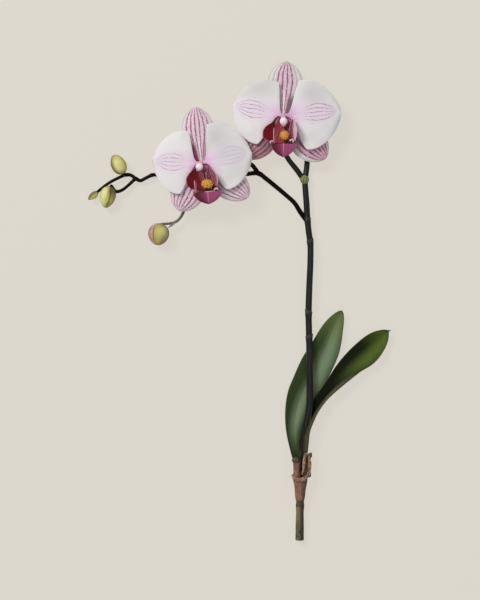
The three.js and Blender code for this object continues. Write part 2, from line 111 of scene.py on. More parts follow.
def framesOf(route, roll=0.0):
    # travel by differences; face is straight up with its share along the travel taken out; side is
    # travel x face; roll degrees then turn face and side about the travel
    travel = unit(np.gradient(route, axis=0))
    face = unit(np.array((0.0, 0.0, 1.0)) - travel * travel[:, 2:])
    side = np.cross(travel, face)
    angle = np.radians(-np.asarray(roll, float)) * np.ones(len(route))
    c, s = np.cos(angle)[:, None], np.sin(angle)[:, None]
    return travel, face * c - side * s, side * c + face * s


def stemGrid(route, radius, sides=32, ends=("dome", "dome"), section=None):
    # rings square to the route: middle + radius·section·(cos a·side + sin a·face). A dome end adds
    # rings that shrink as a quarter circle, a flat end rings in the plane of the cut
    travel, face, side = framesOf(route)
    rows = len(route)
    radius = np.broadcast_to(np.asarray(radius, float), (rows,)) if np.ndim(radius) < 2 else radius
    radius = radius[:, None] * np.ones(sides) if radius.ndim == 1 else radius
    around = ring(sides)[0]
    spoke = np.cos(around)[None, :, None] * side[:, None] + np.sin(around)[None, :, None] * face[:, None]
    if section is not None:
        radius = radius * section(np.linspace(0, 1, rows)[:, None], around[None])
    body = route[:, None] + radius[..., None] * spoke
    turn = np.linspace(0.12, np.pi / 2, 6, endpoint=False)

    def cap(end, sign, style):
        reach = np.cos(turn)[:, None, None] * (radius[end].mean() * sign * 0.8 if style == "dome" else 0)
        shrink = np.sin(turn)[:, None, None] if style == "dome" else np.linspace(0.2, 0.97, 6)[:, None, None]
        return route[end] + reach * travel[end] + shrink * (radius[end][:, None] * spoke[end])[None]

    grid = np.concatenate([cap(0, -1, ends[0]), body, cap(-1, 1, ends[1])[::-1]])
    share = np.concatenate([np.zeros(6), np.linspace(0, 1, rows), np.ones(6)])
    return grid, {"along": share[:, None]}


def bladeGrid(place, thickness, rows=96, around=72):
    # s runs from end to end as (1 - cos πv) / 2; the loop round the blade has t = cos a across it
    # and stands off the middle surface by ±√(1 - t⁸) half thicknesses; place(s, t) gives the
    # middle surface and the way it faces
    s = rise(rows, 1 / (rows + 1))
    a = ring(around)
    t = np.cos(a)
    off = np.sign(np.sin(a)) * np.sqrt(np.maximum(0, 1 - t**8)) * np.sqrt(1 - (2 * s - 1) ** 12)
    points, facing = place(s, t)
    grid = points + facing * (off * thickness / 2)[..., None]
    return grid, {"along": s, "across": t, "front": ease(off, -0.3, 0.3)}


def turned(points, heading, pitch=0.0, middle=(0, 0, 0)):
    # +Y is aimed at the heading, in degrees from +X, after its tip is raised by the pitch
    p, h = math.radians(pitch), math.radians(heading - 90)
    raised = points @ np.array(((1, 0, 0), (0, math.cos(p), math.sin(p)), (0, -math.sin(p), math.cos(p))))
    swung = raised @ np.array(((math.cos(h), math.sin(h), 0), (-math.sin(h), math.cos(h), 0), (0, 0, 1)))
    return swung + np.array(middle, float)


def eggGrid(size, r, s, a, shift=0.0):
    # width·r·cos a across, length·(s - 1/2 - shift) along, height·r·sin a up
    width, length, height = size
    along = length * (s - 0.5 - shift) * np.ones_like(a)
    return np.stack([width * r * np.cos(a), along, height * r * np.sin(a)], -1)


def addPiece(name, parts, finish, stands, slotName):
    # each part is a grid, rows along and columns closing round, with its readings, which may be one
    # row or one column; a point at the middle of each end row closes the ends; a part that comes
    # out inside out has its faces turned
    points, faces, readings, start = [], [], {}, 0
    for grid, reading in parts if isinstance(parts, list) else [parts]:
        rows, columns = grid.shape[:2]
        flat = np.concatenate([grid.reshape(-1, 3), grid[:1].mean(axis=1), grid[-1:].mean(axis=1)])
        i, j = np.meshgrid(np.arange(rows - 1), np.arange(columns), indexing="ij")
        nextJ, below, above = (j + 1) % columns, i * columns, (i + 1) * columns
        quads = np.stack([below + j, below + nextJ, above + nextJ, above + j], -1).reshape(-1, 4)
        spot = np.arange(columns)
        after = (spot + 1) % columns
        last = (rows - 1) * columns
        first = np.stack([after, spot, np.full(columns, rows * columns)], -1)
        close = np.stack([last + spot, last + after, np.full(columns, rows * columns + 1)], -1)
        corners = np.concatenate([quads[:, [0, 1, 2]], quads[:, [0, 2, 3]], first, close])
        one, two, three = (flat[corners[:, k]] for k in range(3))
        volume = np.einsum("ij,ij->", one, np.cross(two, three))
        for block in (quads, first, close):
            faces += ((block[:, ::-1] if volume < 0 else block) + start).tolist()
        points.append(flat)
        for key, value in reading.items():
            whole = np.broadcast_to(value, (rows, columns))
            readings.setdefault(key, []).append(
                np.concatenate([whole.ravel(), [whole[0].mean()], [whole[-1].mean()]]))
        start += len(flat)
    points = (np.concatenate(points) + plantOrigin) / 1000
    mesh = bpy.data.meshes.new(name)
    mesh.from_pydata(points.tolist(), [], faces)
    for key, value in readings.items():
        layer = mesh.attributes.new(key, "FLOAT", "POINT")
        layer.data.foreach_set("value", np.concatenate(value).astype(np.float32))
    mesh.polygons.foreach_set("use_smooth", np.ones(len(faces), bool))
    mesh.update()
    mesh.materials.append(finish)
    piece = bpy.data.objects.new(name, mesh)
    bpy.context.scene.collection.objects.link(piece)
    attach(piece, "root")
    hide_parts(stands)
    return piece


def shade(r, g, b):
    # a colour as seen on a screen, 0 to 255, becomes the linear one that a shader takes
    screen = (r / 255, g / 255, b / 255)
    return tuple(x / 12.92 if x <= 0.04045 else ((x + 0.055) / 1.055) ** 2.4 for x in screen) + (1,)


class Level:
    # one number that varies over a surface; sums written on it add the Math nodes
    def __init__(self, paint, socket):
        self.paint, self.socket = paint, socket

    def sum(self, kind, first, second):
        # one Math node of the kind, on two numbers or levels
        return self.paint.node("ShaderNodeMath", {"operation": kind}, {0: first, 1: second})

    def __add__(self, other):
        return self.sum("ADD", self, other)

    def __radd__(self, other):
        return self.sum("ADD", other, self)

    def __sub__(self, other):
        return self.sum("SUBTRACT", self, other)

    def __rsub__(self, other):
        return self.sum("SUBTRACT", other, self)

    def __mul__(self, other):
        return self.sum("MULTIPLY", self, other)

    def __rmul__(self, other):
        return self.sum("MULTIPLY", other, self)

    def __abs__(self):
        return self.paint.node("ShaderNodeMath", {"operation": "ABSOLUTE"}, {0: self})


class Paint:
    # one finish being mixed: a Principled shader with its constants, and the nodes that feed it
    def __init__(self, name, **constants):
        self.material = bpy.data.materials.new(name)
        self.material.use_nodes = True
        self.nodes, self.links = self.material.node_tree.nodes, self.material.node_tree.links
        self.nodes.clear()
        self.shader = self.nodes.new("ShaderNodeBsdfPrincipled")
        out = self.nodes.new("ShaderNodeOutputMaterial")
        self.links.new(self.shader.outputs[0], out.inputs[0])
        for key, value in constants.items():
            self.shader.inputs[key].default_value = value

    def feed(self, socket, value):
        # a level is linked, anything else is set as the socket's own value
        if isinstance(value, Level):
            self.links.new(value.socket, socket)
        else:
            socket.default_value = value

    def node(self, kind, settings=None, inputs=None, output=0):
        # settings come first, a ramp's stops among them, then the values or links of the sockets
        made = self.nodes.new(kind)
        for key, value in (settings or {}).items():
            setattr(made, key, value)
        for key, value in (inputs or {}).items():
            self.feed(made.inputs[key], value)
        return Level(self, made.outputs[output])

    def reading(self, name):
        # a number that the mesh carries at each point
        return self.node("ShaderNodeAttribute", {"attribute_name": name}, output=2)

    def place(self, stretch=(1, 1, 1)):
        # object coordinates, each axis multiplied by its stretch
        return self.node("ShaderNodeVectorMath", {"operation": "MULTIPLY"},
                         {0: self.node("ShaderNodeTexCoord", output=3), 1: stretch})

    def flat(self, x, y):
        # a place made of two readings, so that a pattern follows the surface
        return self.node("ShaderNodeCombineXYZ", None, {0: x, 1: y})

    def grain(self, size, where=None, detail=2.0):
        # cloudy noise from 0 to 1 with patches of about the size, in metres or in the units of where
        return self.node("ShaderNodeTexNoise", None,
                         {"Vector": where or self.place(), "Scale": 1 / size, "Detail": detail,
                          "Roughness": 0.55})

    def ease(self, value, low, high):
        # 0 at low, 1 at high and smooth between; with low above high it falls instead of rising
        return self.node("ShaderNodeMapRange", {"interpolation_type": "SMOOTHSTEP"},
                         {"Value": value, "From Min": low, "From Max": high})

    def lines(self, value, every, thin, soft):
        # 1 on each multiple of every, falling to 0 between the distances thin and soft
        near = self.node("ShaderNodeMath", {"operation": "PINGPONG"}, {0: value, 1: every / 2})
        return 1 - self.ease(near, thin, soft)

    def blend(self, mask, first, second):
        # the first colour where the mask is 0, the second where it is 1
        return self.node("ShaderNodeMix", {"data_type": "RGBA", "clamp_factor": True},
                         {0: mask, 6: first, 7: second}, output=2)

    def done(self, colour, roughness=None, height=None, depth=0.0002):
        # the depth of the bump is in metres
        self.feed(self.shader.inputs["Base Color"], colour)
        if roughness is not None:
            self.feed(self.shader.inputs["Roughness"], roughness)
        if height is not None:
            bump = self.node("ShaderNodeBump", None, {"Strength": 1.0, "Distance": depth, "Height": height})
            self.feed(self.shader.inputs["Normal"], bump)
        return self.material


cane = {
    "route": [(0, 0, 3.8), (0.2, 23, 5.9), (0.5, 46, 7.9)],
    "radius": [(0, 3.75), (0.3, 3.7), (0.64, 3.65), (0.69, 3.85), (0.73, 3.65), (1, 3.4)],
    "ridge": 0.035,  # share of the radius
    "light": (112, 100, 72), "dark": (60, 52, 36), "patch": (84, 78, 48), "heart": (128, 112, 84),
    "olive": (124, 108, 66), "shaded": (38, 33, 23), "collar": (62, 48, 33), "crack": (34, 29, 22),
    "ring": (36, 30, 20),
}


def caneFinish():
    # streaks along the stem, mossy patches and dark cracks; olive on one side above the lowest joint
    # and painted shade down the other, a brown collar over a dark ring near the top, a paler heart on the cut
    paint = Paint("caneBark", Roughness=0.72)
    streak = paint.grain(0.0012, paint.place((1, 0.12, 1)), 4)
    patch = paint.grain(0.006, None, 3)
    crack = paint.ease(paint.grain(0.0022, paint.place((1, 0.5, 1)), 4), 0.6, 0.68)
    colour = paint.blend(paint.ease(streak, 0.35, 0.65), shade(*cane["dark"]), shade(*cane["light"]))
    colour = paint.blend(paint.ease(patch, 0.5, 0.62) * 0.6, colour, shade(*cane["patch"]))
    colour = paint.blend(crack * 0.7, colour, shade(*cane["crack"]))
    s, side = paint.reading("along"), paint.reading("across")
    olive = paint.ease(s, 0.36, 0.42) * paint.ease(side, 0.3, -0.3)
    colour = paint.blend(olive * 0.7, colour, shade(*cane["olive"]))
    # painted shade down the side of the cane away from the lamp
    shaded = paint.ease(side + (streak - 0.5) * 0.4, -0.15, 0.55)
    colour = paint.blend(shaded * 0.85, colour, shade(*cane["shaded"]))
    colour = paint.blend(paint.ease(s, 0.68, 0.7) * 0.7, colour, shade(*cane["collar"]))
    scar = paint.ease(s, 0.665, 0.68) * paint.ease(s, 0.71, 0.69)
    colour = paint.blend(scar * 0.7, colour, shade(*cane["ring"]))
    colour = paint.blend(paint.reading("cut"), colour, shade(*cane["heart"]))
    height = streak * 0.6 + crack * -0.6 + patch * 0.4
    return paint.done(colour, paint.ease(patch, 0.2, 0.9) * 0.25 + 0.6, height, 0.0006)


def waves(terms, a, s):
    # the sum of depth·sin(many·angle + twist·share + start)
    return sum(depth * np.sin(many * a + twist * s + start) for depth, many, twist, start in terms)


def addCane():
    # a tapered stem whose radius wavers by a sum of three sines round it; its lower end is cut flat
    def ridges(share, a):
        return 1 + cane["ridge"] * waves([(0.5, 7, 2, 0), (0.35, 13, -5, 0), (0.3, 4, 31, 0)], a, share)

    count, sides = 90, 64
    radius = drawn(cane["radius"], np.linspace(0, 1, count))
    grid, readings = stemGrid(routeThrough(cane["route"], count), radius, sides, ("flat", "dome"), ridges)
    cut = np.zeros(grid.shape[:2])
    cut[:5] = np.array((1, 1, 1, 0.9, 0.4))[:, None]
    addPiece("cane_bark", (grid, {**readings, "across": np.cos(ring(sides)), "cut": cut}), caneFinish(),
             "cane", "cane")


sheath = {
    "route": [(0.33, 36.2, 6.95), (0.44, 46.5, 7.4), (0.6, 57, 7.8)],
    "radius": [(0, 3.9), (0.12, 4.35), (0.5, 5.1), (0.85, 6.15), (1, 6.35)],
    "wall": 0.55, "inside": 0.45,  # how thick the paper is, and how far down the mouth is open
    "folds": [(0.05, 5, 3, 0), (0.035, 11, -4, 0), (0.02, 19, 0, 0)],  # depth, how many round, twist, start
    "tears": [(1.1, 3, 0, 0.8), (0.6, 8, 0, 2), (0.3, 17, 0, 0)],
    "light": (150, 108, 84), "dark": (96, 64, 48), "vein": (112, 80, 66), "shadedSide": (66, 42, 29),
}


def paperFinish(name, look, fibre=(1, 0.1, 1), gloss=0.62):
    # dry fibres along the piece, from the dark colour to the light one, with a few darker veins, and
    # painted shade down one side where the look gives a shaded side colour
    paint = Paint(name, Roughness=gloss)
    fibres = paint.grain(0.0011, paint.place(fibre), 5)
    cloud = paint.grain(0.004, None, 3)
    mixed = paint.ease(fibres * 0.65 + cloud * 0.5, 0.38, 0.72)
    colour = paint.blend(mixed, shade(*look["dark"]), shade(*look["light"]))
    thread = paint.ease(paint.grain(0.0016, paint.place(fibre), 1), 0.58, 0.64)
    colour = paint.blend(thread * 0.55, colour, shade(*look["vein"]))
    # painted shade down one side of the sheath
    if "shadedSide" in look:
        shaded = paint.ease(paint.reading("across"), 0.0, 0.8)
        colour = paint.blend(shaded * 0.75, colour, shade(*look["shadedSide"]))
    return paint.done(colour, fibres * 0.3 + 0.45, fibres + thread * 0.5, 0.0005)


def addSheath():
    # up the outside, over the rim and back down inside; folds along it deepen towards the mouth
    outer, inner, steps = 70, 26, 200
    share = np.concatenate([np.linspace(0, 1, outer), np.linspace(1, 1 - sheath["inside"], inner)])
    middle = routeThrough(sheath["route"], steps)
    s, a = share[:, None], ring(96)
    radius = drawn(sheath["radius"], s) * (1 + ease(s, 0.1, 1) * waves(sheath["folds"], a, s))
    radius[outer:] -= sheath["wall"] * ease(np.arange(inner), 0, 3)[:, None]
    radius[-1] *= 0.5
    ragged = ease(s, 0.86, 1) * waves(sheath["tears"], a, s)
    travel = unit(middle[-1] - middle[0])
    _, face, side = framesOf(middle)
    spoke = np.cos(a)[..., None] * side[steps // 2] + np.sin(a)[..., None] * face[steps // 2]
    grid = readAt(middle, share)[:, None] + radius[..., None] * spoke + ragged[..., None] * travel
    finish = paperFinish("sheathPaper", sheath)
    addPiece("papery_sheath", (grid, {"along": s, "across": np.cos(a)}), finish, "lower_sheath", "dry_sheath")


sheathRim = {
    "route": [(-6.5, 59.1, 8.4), (-4.3, 56.3, 13.1), (-0.1, 55.2, 15.1), (4.3, 56.5, 13.8), (7.9, 60.6, 12),
              (8.9, 67.8, 11.1), (8.3, 74.4, 11.4), (6.6, 78.1, 12.8), (4.6, 76.6, 14.5), (3.6, 70.8, 14.9),
              (3, 64.2, 14.7), (1.9, 60.3, 14.1)],
    "radius": [(0, 1.0), (0.08, 1.45), (0.3, 1.7), (0.6, 1.35), (0.85, 1.1), (1, 0.7)],
    "strands": 4, "twist": 9,
    "light": (182, 142, 110), "dark": (88, 60, 42), "vein": (58, 40, 28),
}


def addSheathRim():
    # a rolled strip: a round section with strands that wind slowly round it
    count = 260
    route = routeThrough(sheathRim["route"], count)
    s = np.linspace(0, 1, count)
    strands = lambda share, a: 1 + 0.13 * np.cos(sheathRim["strands"] * a + sheathRim["twist"] * share)
    shape = lambda share, a: strands(share, a) * (1 + 0.12 * np.sin(40 * share + 2 * a))
    grid, readings = stemGrid(route, drawn(sheathRim["radius"], s), 40, section=shape)
    finish = paperFinish("rimPaper", sheathRim, (1, 0.6, 1))
    addPiece("rolled_rim", (grid, readings), finish, "sheath_rim", "dry_sheath")


leafBases = {
    "left": {"route": [(-2.7, 56.5, 9.5), (-2.8, 64, 9.3), (-2.9, 71.5, 9.2)],
             "radius": [(0, 2.9), (0.5, 2.95), (1, 3.0)]},
    "collar": {"route": [(-3.2, 71.5, 9.2), (-3.2, 73.6, 9.2)], "radius": 3.6},
    "strap": {"route": [(4.4, 56.9, 9.4), (5.6, 63.9, 9.6), (5.9, 70.9, 9.6), (6.1, 78.6, 9.6)], "width": 8.2,
              "thickness": 1.3, "roll": 38, "fold": 20},
    "scales": {"dried_scale_upper": {"at": (9.4, 77.2, 8.8), "size": (4, 5.4, 3.4), "heading": 62},
               "dried_scale_lower": {"at": (9.1, 59.6, 7), "size": (2.8, 5.4, 3), "heading": 80}},
    "light": (146, 106, 78), "dark": (82, 56, 38), "vein": (60, 42, 30),
    "old": {"light": (88, 82, 48), "dark": (44, 34, 24), "vein": (30, 24, 16)},
}


def addLeafBases():
    # the stub's radius wavers by a cosine and a sine round it, the collar's by two sines, torn at its ends
    look, paper = leafBases["left"], paperFinish("leafBasePaper", leafBases)
    ribs = lambda share, a: 1 + 0.05 * np.cos(9 * a + 1.5 * share) + 0.04 * np.sin(4 * a + 6 * share)
    radius = drawn(look["radius"], np.linspace(0, 1, 60))
    stub = stemGrid(routeThrough(look["route"], 60), radius, 56, section=ribs)
    addPiece("left_base_stub", stub, paper, "left_leaf_stub", "dry_sheath")
    look = leafBases["collar"]
    edge = [(0.07, 6, 0, 1), (0.05, 11, 0, 0)]
    torn = lambda share, a: (1 + waves(edge, a, share)) * (0.9 + 0.16 * np.sin(np.pi * share))
    collar = stemGrid(routeThrough(look["route"], 24), look["radius"], 48, section=torn)
    finish = paperFinish("collarPaper", leafBases["old"])
    addPiece("left_base_collar", collar, finish, "left_leaf_collar", "leaf_collar")
    addPiece("right_base_strap", strapGrid(leafBases["strap"]), paper, "right_leaf_strap", "dry_sheath")
    for i, (node, scale) in enumerate(leafBases["scales"].items()):
        finish = paperFinish("scalePaper%d" % (i + 1), leafBases["old"])
        addPiece("dried_scale_%d" % (i + 1), scaleGrid(scale), finish, node, "dry_sheath")


def strapGrid(look):
    centre = routeThrough(look["route"], 60)
    _, face, side = framesOf(centre, look["roll"])
    fold = math.radians(look["fold"])

    def place(s, t):
        # across the route by half widths, folded up both sides of its middle
        reach = look["width"] / 2 * (0.82 + 0.18 * ease(s, 0, 0.3)) * (1 - 0.25 * ease(s, 0.8, 1))
        crimp = 0.25 * np.sin(17 * t + 5 * s) * ease(np.abs(t), 0.1, 0.6)
        over = (reach * t * math.cos(fold))[..., None]
        up = (reach * (np.sqrt(t * t + 0.02) - 0.14) * math.sin(fold) + crimp)[..., None]
        return readAt(centre, s) + readAt(side, s) * over + readAt(face, s) * up, readAt(face, s)

    return bladeGrid(place, look["thickness"], 64, 64)


def scaleGrid(scale):
    # an egg squeezed to a ragged point at its far end
    s, a = rise(40, 0.02), ring(40)
    r = np.sqrt(s * (1 - s)) * (1.15 - 0.5 * s) * (1 + 0.12 * np.sin(3 * a + 5 * s) + 0.06 * np.sin(7 * a))
    return turned(eggGrid(scale["size"], r, s, a), scale["heading"], 0, scale["at"]), {"along": s}


# each leaf's base colour is its green in painted shade, its band colour painted light, and its edge colour a
# thin painted highlight along the margin
leftLeaf = {
    "route": [(-2.9, 74.4, 9.2), (-4.2, 85.4, 7.7), (-4.8, 100.2, 5.8), (-2.7, 116.7, 4.4), (1.7, 131.4, 3.6),
              (7.7, 142.9, 3.4), (14.8, 157.3, 3.4), (23.1, 173.3, 3.8), (30.2, 191.6, 4.8),
              (38.3, 208.0, 6.5)],
    "width": 29.8, "thickness": 1.3, "claw": (0.07, -0.26, 0.6), "peak": 0.6, "power": 1.8, "tip": 0.6,
    "fold": (24, 10, 0, 0.5),  # degrees at the foot and later on, between two shares of the length
    "gloss": 0.16, "base": (44, 62, 24),
    "paintedLight": (130, 150, 114), "paintedLightAt": 0.36, "paintedLightHalf": 0.86, "paintedLightLean": 0.55, "paintedLightFrom": (0.0, 0.25),
    "tipColour": (112, 128, 58), "edge": (104, 116, 84), "under": (82, 92, 62), "vein": (58, 74, 42),
}
rightLeaf = {
    "inner": [(6.2, 97, 6.3), (8.2, 109, 6.6), (10.2, 119.4, 7), (13.4, 128.4, 7.6), (22.9, 142.6, 8.8),
              (35.8, 162, 9.4), (50, 177.2, 9), (64, 187.6, 8.6), (75.5, 190.8, 8.6), (81, 190.2, 8.9)],
    "outer": [(9.2, 97.5, 6.9), (12.6, 108, 7.6), (17.7, 118, 8.4), (25.5, 128.2, 9.2), (37.1, 138.7, 9.8),
              (52.6, 151, 9.6), (66.8, 160, 8.9), (75.2, 170, 8.6), (79.8, 180, 8.6), (81, 190.2, 8.9)],
    "dish": 1.2, "thickness": 1.2,
    # the base colour here is the blade in deep painted shade
    "gloss": 0.08, "base": (9, 13, 2),
    "paintedLight": (92, 112, 42), "paintedLightAt": 0.45, "paintedLightHalf": 0.95, "paintedLightLean": 0.0, "paintedLightFrom": (0.36, 0.74),
    "tipColour": (98, 114, 44), "edge": (136, 138, 104), "under": (75, 79, 60), "vein": (40, 52, 18),
}
# the folded foot of the right leaf: its margin lies over the spike and runs out along the blade
leafFold = {
    "inner": [(2.2, 76.7, 9.8), (3.1, 87, 13.2), (4.2, 95.5, 14.2), (6.6, 102.5, 14.5), (12.3, 114.2, 12.8),
              (19, 124.6, 11.1), (29.3, 136.4, 10.8), (42.3, 147.4, 10.7), (53.9, 152.2, 10.3)],
    "outer": [(7.1, 78, 9.8), (8.2, 89, 13), (9.4, 98.7, 14), (13.9, 110.3, 13.2), (17.9, 117.8, 12),
              (25.7, 128, 11), (37.3, 138.5, 10.7), (45.6, 145.3, 10.5), (53.9, 151.8, 10.3)],
    "dish": -0.7, "thickness": 0.9,
    "gloss": 0.2, "base": (72, 66, 42),
    "paintedLight": (108, 104, 74), "paintedLightAt": 0.1, "paintedLightHalf": 0.9, "paintedLightLean": 0.0, "paintedLightFrom": (-0.5, 0.0),
    "tipColour": (78, 84, 62), "edge": (142, 140, 112), "under": (60, 64, 46), "vein": (46, 48, 28),
}
leafHook = {"route": [(80.4, 190.1, 9), (81.6, 189.5, 9.2), (82.5, 190.2, 9.4)], "radius": (0.55, 0.22),
            "light": (66, 60, 34), "dark": (30, 30, 16)}


def outlineAt(look, s):
    # widens from the claw between two shares of the length, then rounds off beyond the peak as
    # (1 - beyond^power)^tip
    claw, start, end = look["claw"]
    beyond = np.clip((s - look["peak"]) / (1 - look["peak"]), 0, 1)
    widening = claw + (1 - claw) * ease(s, start, end)
    return widening * np.maximum(0, 1 - beyond ** look["power"]) ** look["tip"]


def leafFinish(name, look):
    # painted light runs as a soft pale band up the blade beside its middle, over fine parallel veins,
    # and the base colour is the green in painted shade; the tip is yellower, a thin painted highlight
    # lies along the margin, the underside is duller
    paint = Paint(name, Roughness=0.5, **{"Specular IOR Level": look["gloss"]})
    s, t, front = paint.reading("along"), paint.reading("across"), paint.reading("front")
    cloud = paint.grain(0.02, None, 2)
    streak = paint.grain(0.05, paint.flat(s * 0.3, t * 2.2), 4)
    lean = paint.ease(s, 0.5, 0.0) * look["paintedLightLean"]
    # painted light: a pale band beside the middle of the blade
    away = abs(t - look["paintedLightAt"] + lean + (streak - 0.5) * 0.35)
    paintedLight = paint.ease(away, look["paintedLightHalf"], 0.0) * paint.ease(s, *look["paintedLightFrom"])
    colour = paint.blend(paintedLight * (cloud * 0.3 + 0.8), shade(*look["base"]), shade(*look["paintedLight"]))
    colour = paint.blend(paint.ease(s, 0.72, 1.0) * 0.75, colour, shade(*look["tipColour"]))
    veins = paint.lines(t + streak * 0.02, 0.07, 0.002, 0.024)
    colour = paint.blend(veins * 0.32 + paint.ease(streak, 0.45, 0.7) * 0.22, colour, shade(*look["vein"]))
    # a thin painted highlight along the margins
    colour = paint.blend(paint.ease(abs(t), 0.955, 0.99) * 0.7, colour, shade(*look["edge"]))
    colour = paint.blend(1 - front, colour, shade(*look["under"]))
    return paint.done(colour, cloud * 0.1 + 0.42, veins * -0.5 + streak * 0.6, 0.0003)


def addLeftLeaf():
    look = leftLeaf
    centre = routeThrough(look["route"], 400)
    _, face, side = framesOf(centre)

    def place(s, t):
        # the route + side·reach·t·cos(fold) + face·reach·(rounded |t|)·sin(fold), with shallow waves
        first, last, start, end = look["fold"]
        fold = np.radians(first + (last - first) * ease(s, start, end))
        reach = look["width"] / 2 * outlineAt(look, s)
        wave = 0.35 * np.sin(11 * s + 2 * t) * t * t - 0.35 * bell(t, 0, 0.06)
        over = (reach * t * np.cos(fold))[..., None]
        up = (reach * (np.sqrt(t * t + 0.008) - 0.09) * np.sin(fold) + wave)[..., None]
        return readAt(centre, s) + readAt(side, s) * over + readAt(face, s) * up, readAt(face, s)

    blade = bladeGrid(place, look["thickness"], 180, 96)
    addPiece("left_leaf_blade", blade, leafFinish("leftLeafGreen", look), "left_leaf", "left_leaf")


def marginBlade(look, rows, around):
    inner, outer = (routeThrough(look[key], 400) for key in ("inner", "outer"))

    def place(s, t):
        # halfway between the two margins at t = 0, on them at t = -1 and 1, dished by its depth
        left, right = readAt(inner, s), readAt(outer, s)
        broad = np.minimum(1, np.linalg.norm(right - left, axis=-1) / 12)
        dish = look["dish"] * (np.abs(t) ** 1.6 - 1) * broad + 0.15 * np.sin(14 * s + 3 * t) * t * t
        points = left * (1 - t[..., None]) / 2 + right * (1 + t[..., None]) / 2
        return points + dish[..., None] * np.array((0, 0, 1.0)), np.array((0, 0, 1.0))

    return bladeGrid(place, look["thickness"], rows, around)


def addRightLeaf():
    blade, fold = marginBlade(rightLeaf, 180, 96), marginBlade(leafFold, 160, 48)
    addPiece("right_leaf_blade", blade, leafFinish("rightLeafGreen", rightLeaf), "right_leaf", "right_leaf")
    addPiece("right_leaf_fold", fold, leafFinish("leafFoldGreen", leafFold), "right_leaf", "right_leaf")
    hook = stemGrid(routeThrough(leafHook["route"], 24), np.linspace(*leafHook["radius"], 24), 20)
    paint = Paint("leafHookBrown", Roughness=0.6)
    mottle = paint.ease(paint.grain(0.0006), 0.35, 0.65)
    colour = paint.blend(mottle, shade(*leafHook["dark"]), shade(*leafHook["light"]))
    finish = paint.done(colour, None, paint.grain(0.0004), 0.0001)
    addPiece("right_leaf_hook", hook, finish, "right_leaf", "right_leaf")


spike = {
    "route": [(0.8, 46.4, 6.3), (0.8, 56.6, 6.7), (0.8, 67.5, 7), (1.6, 79.4, 7.9), (3, 92.3, 9.6),
              (5.8, 104.8, 10.8), (8.3, 119.5, 11.8), (9.1, 134, 12.1), (8.8, 158.4, 11.8),
              (8.5, 184.4, 10.8), (8.1, 206.5, 9.9), (8.8, 230.6, 8.9), (9.7, 251.5, 8.3), (9.7, 267.8, 7.6),
              (8.1, 280.4, 7), (6.9, 292.2, 6.7), (6.2, 304.8, 6), (5.3, 316.6, 5.4), (4.9, 325.6, 4.7),
              (6.5, 338.5, 3.8), (7.2, 352.9, 3.1), (6.9, 365.7, 2.8)],
    "radius": [(0, 2.3), (0.1, 2.6), (0.22, 2.95), (0.5, 2.9), (0.8, 2.75), (1, 2.45)],
    "joints": [0.429, 0.498, 0.699, 0.762, 0.877],
    "base": (9, 8, 7), "body": (14, 13, 14), "light": (50, 51, 56), "gloss": 0.3,
}
sideBranch = {
    "route": [(7.2, 288.7, 6.8), (0.9, 296.7, 6.6), (-4.7, 305.4, 6.3), (-11.9, 312.1, 6.1),
              (-21.6, 320.3, 5.7), (-30.5, 327.5, 5.3), (-37.2, 332.2, 5), (-47.6, 331.8, 4.6),
              (-67.5, 328.6, 4.4), (-90.2, 327.3, 4.2), (-113, 328.6, 4.2), (-126.4, 330.3, 4.4),
              (-132.9, 330.9, 4.6), (-139.2, 328.1, 4.8), (-144.4, 325.7, 5), (-148.3, 327.5, 5.3),
              (-153.2, 330.7, 5.5), (-157.8, 330.7, 5.7), (-164.5, 327.9, 5.9), (-171.2, 324.4, 6.3),
              (-177.1, 320.3, 6.6), (-183.1, 315.3, 7)],
    "radius": [(0, 2.5), (0.06, 2.2), (0.3, 2.1), (0.6, 1.75), (1, 1.35)],
    "joints": [0.293, 0.541, 0.69, 0.745, 0.815, 0.86],
    "base": (6, 5, 2), "body": (9, 6, 2), "light": (54, 42, 22), "gloss": 0.07,
}
stalks = {
    "flower_a_pedicel": {"route": [(-37.8, 332.4, 5), (-43.2, 339.7, 7.5), (-54, 343.4, 12.5),
                                   (-68.5, 343.6, 18.5), (-81, 341.6, 23), (-88.8, 340, 26)],
                         "radius": [(0, 2.1), (0.5, 1.75), (0.9, 1.8), (1, 2.2)], "joints": [0.06],
                         "look": "branch"},
    "flower_b_pedicel": {"route": [(4.9, 324.5, 4.8), (-2, 334.4, 7.4), (-10.6, 345.5, 9.9),
                                   (-17, 358.9, 12.8), (-17.2, 372.2, 16.4), (-15.3, 383.3, 19.9)],
                         "radius": [(0, 2.5), (0.4, 2.35), (0.9, 2.2), (1, 2.5)], "joints": [0.05],
                         "look": "spike"},
    "bud_upper_stalk": {"route": [(-157.4, 330.8, 5.7), (-158.6, 331.4, 7.1), (-159.9, 331.8, 8.5)],
                        "radius": [(0, 1.7), (0.5, 1.75), (1, 1.9)], "joints": [], "look": "branch"},
    "bud_lower_stalk": {"route": [(-148.6, 327.7, 5.3), (-154.6, 321.9, 5.7), (-161.4, 316.8, 6.7),
                                  (-166.4, 315.8, 7.2), (-170.6, 320.6, 7.8)],
                        "radius": [(0, 1.6), (0.5, 1.45), (1, 1.8)], "joints": [0.08], "look": "branch"},
    "bud_opening_stalk": {"route": [(-91.2, 327.3, 4.2), (-96.6, 316.7, 4.7), (-102.2, 306.8, 5.5),
                                    (-105.2, 297.4, 6.7), (-107.6, 292.6, 7.6), (-111.6, 288.5, 8.5),
                                    (-116.4, 286.9, 9.1), (-125.4, 286.2, 9.6)],
                          "radius": [(0, 1.6), (0.5, 1.45), (0.75, 1.25), (1, 1.1)], "joints": [0.1],
                          "look": "budStalk"},
}
budStalk = {"base": (50, 48, 42), "body": (92, 90, 78), "light": (124, 120, 106), "gloss": 0.3}


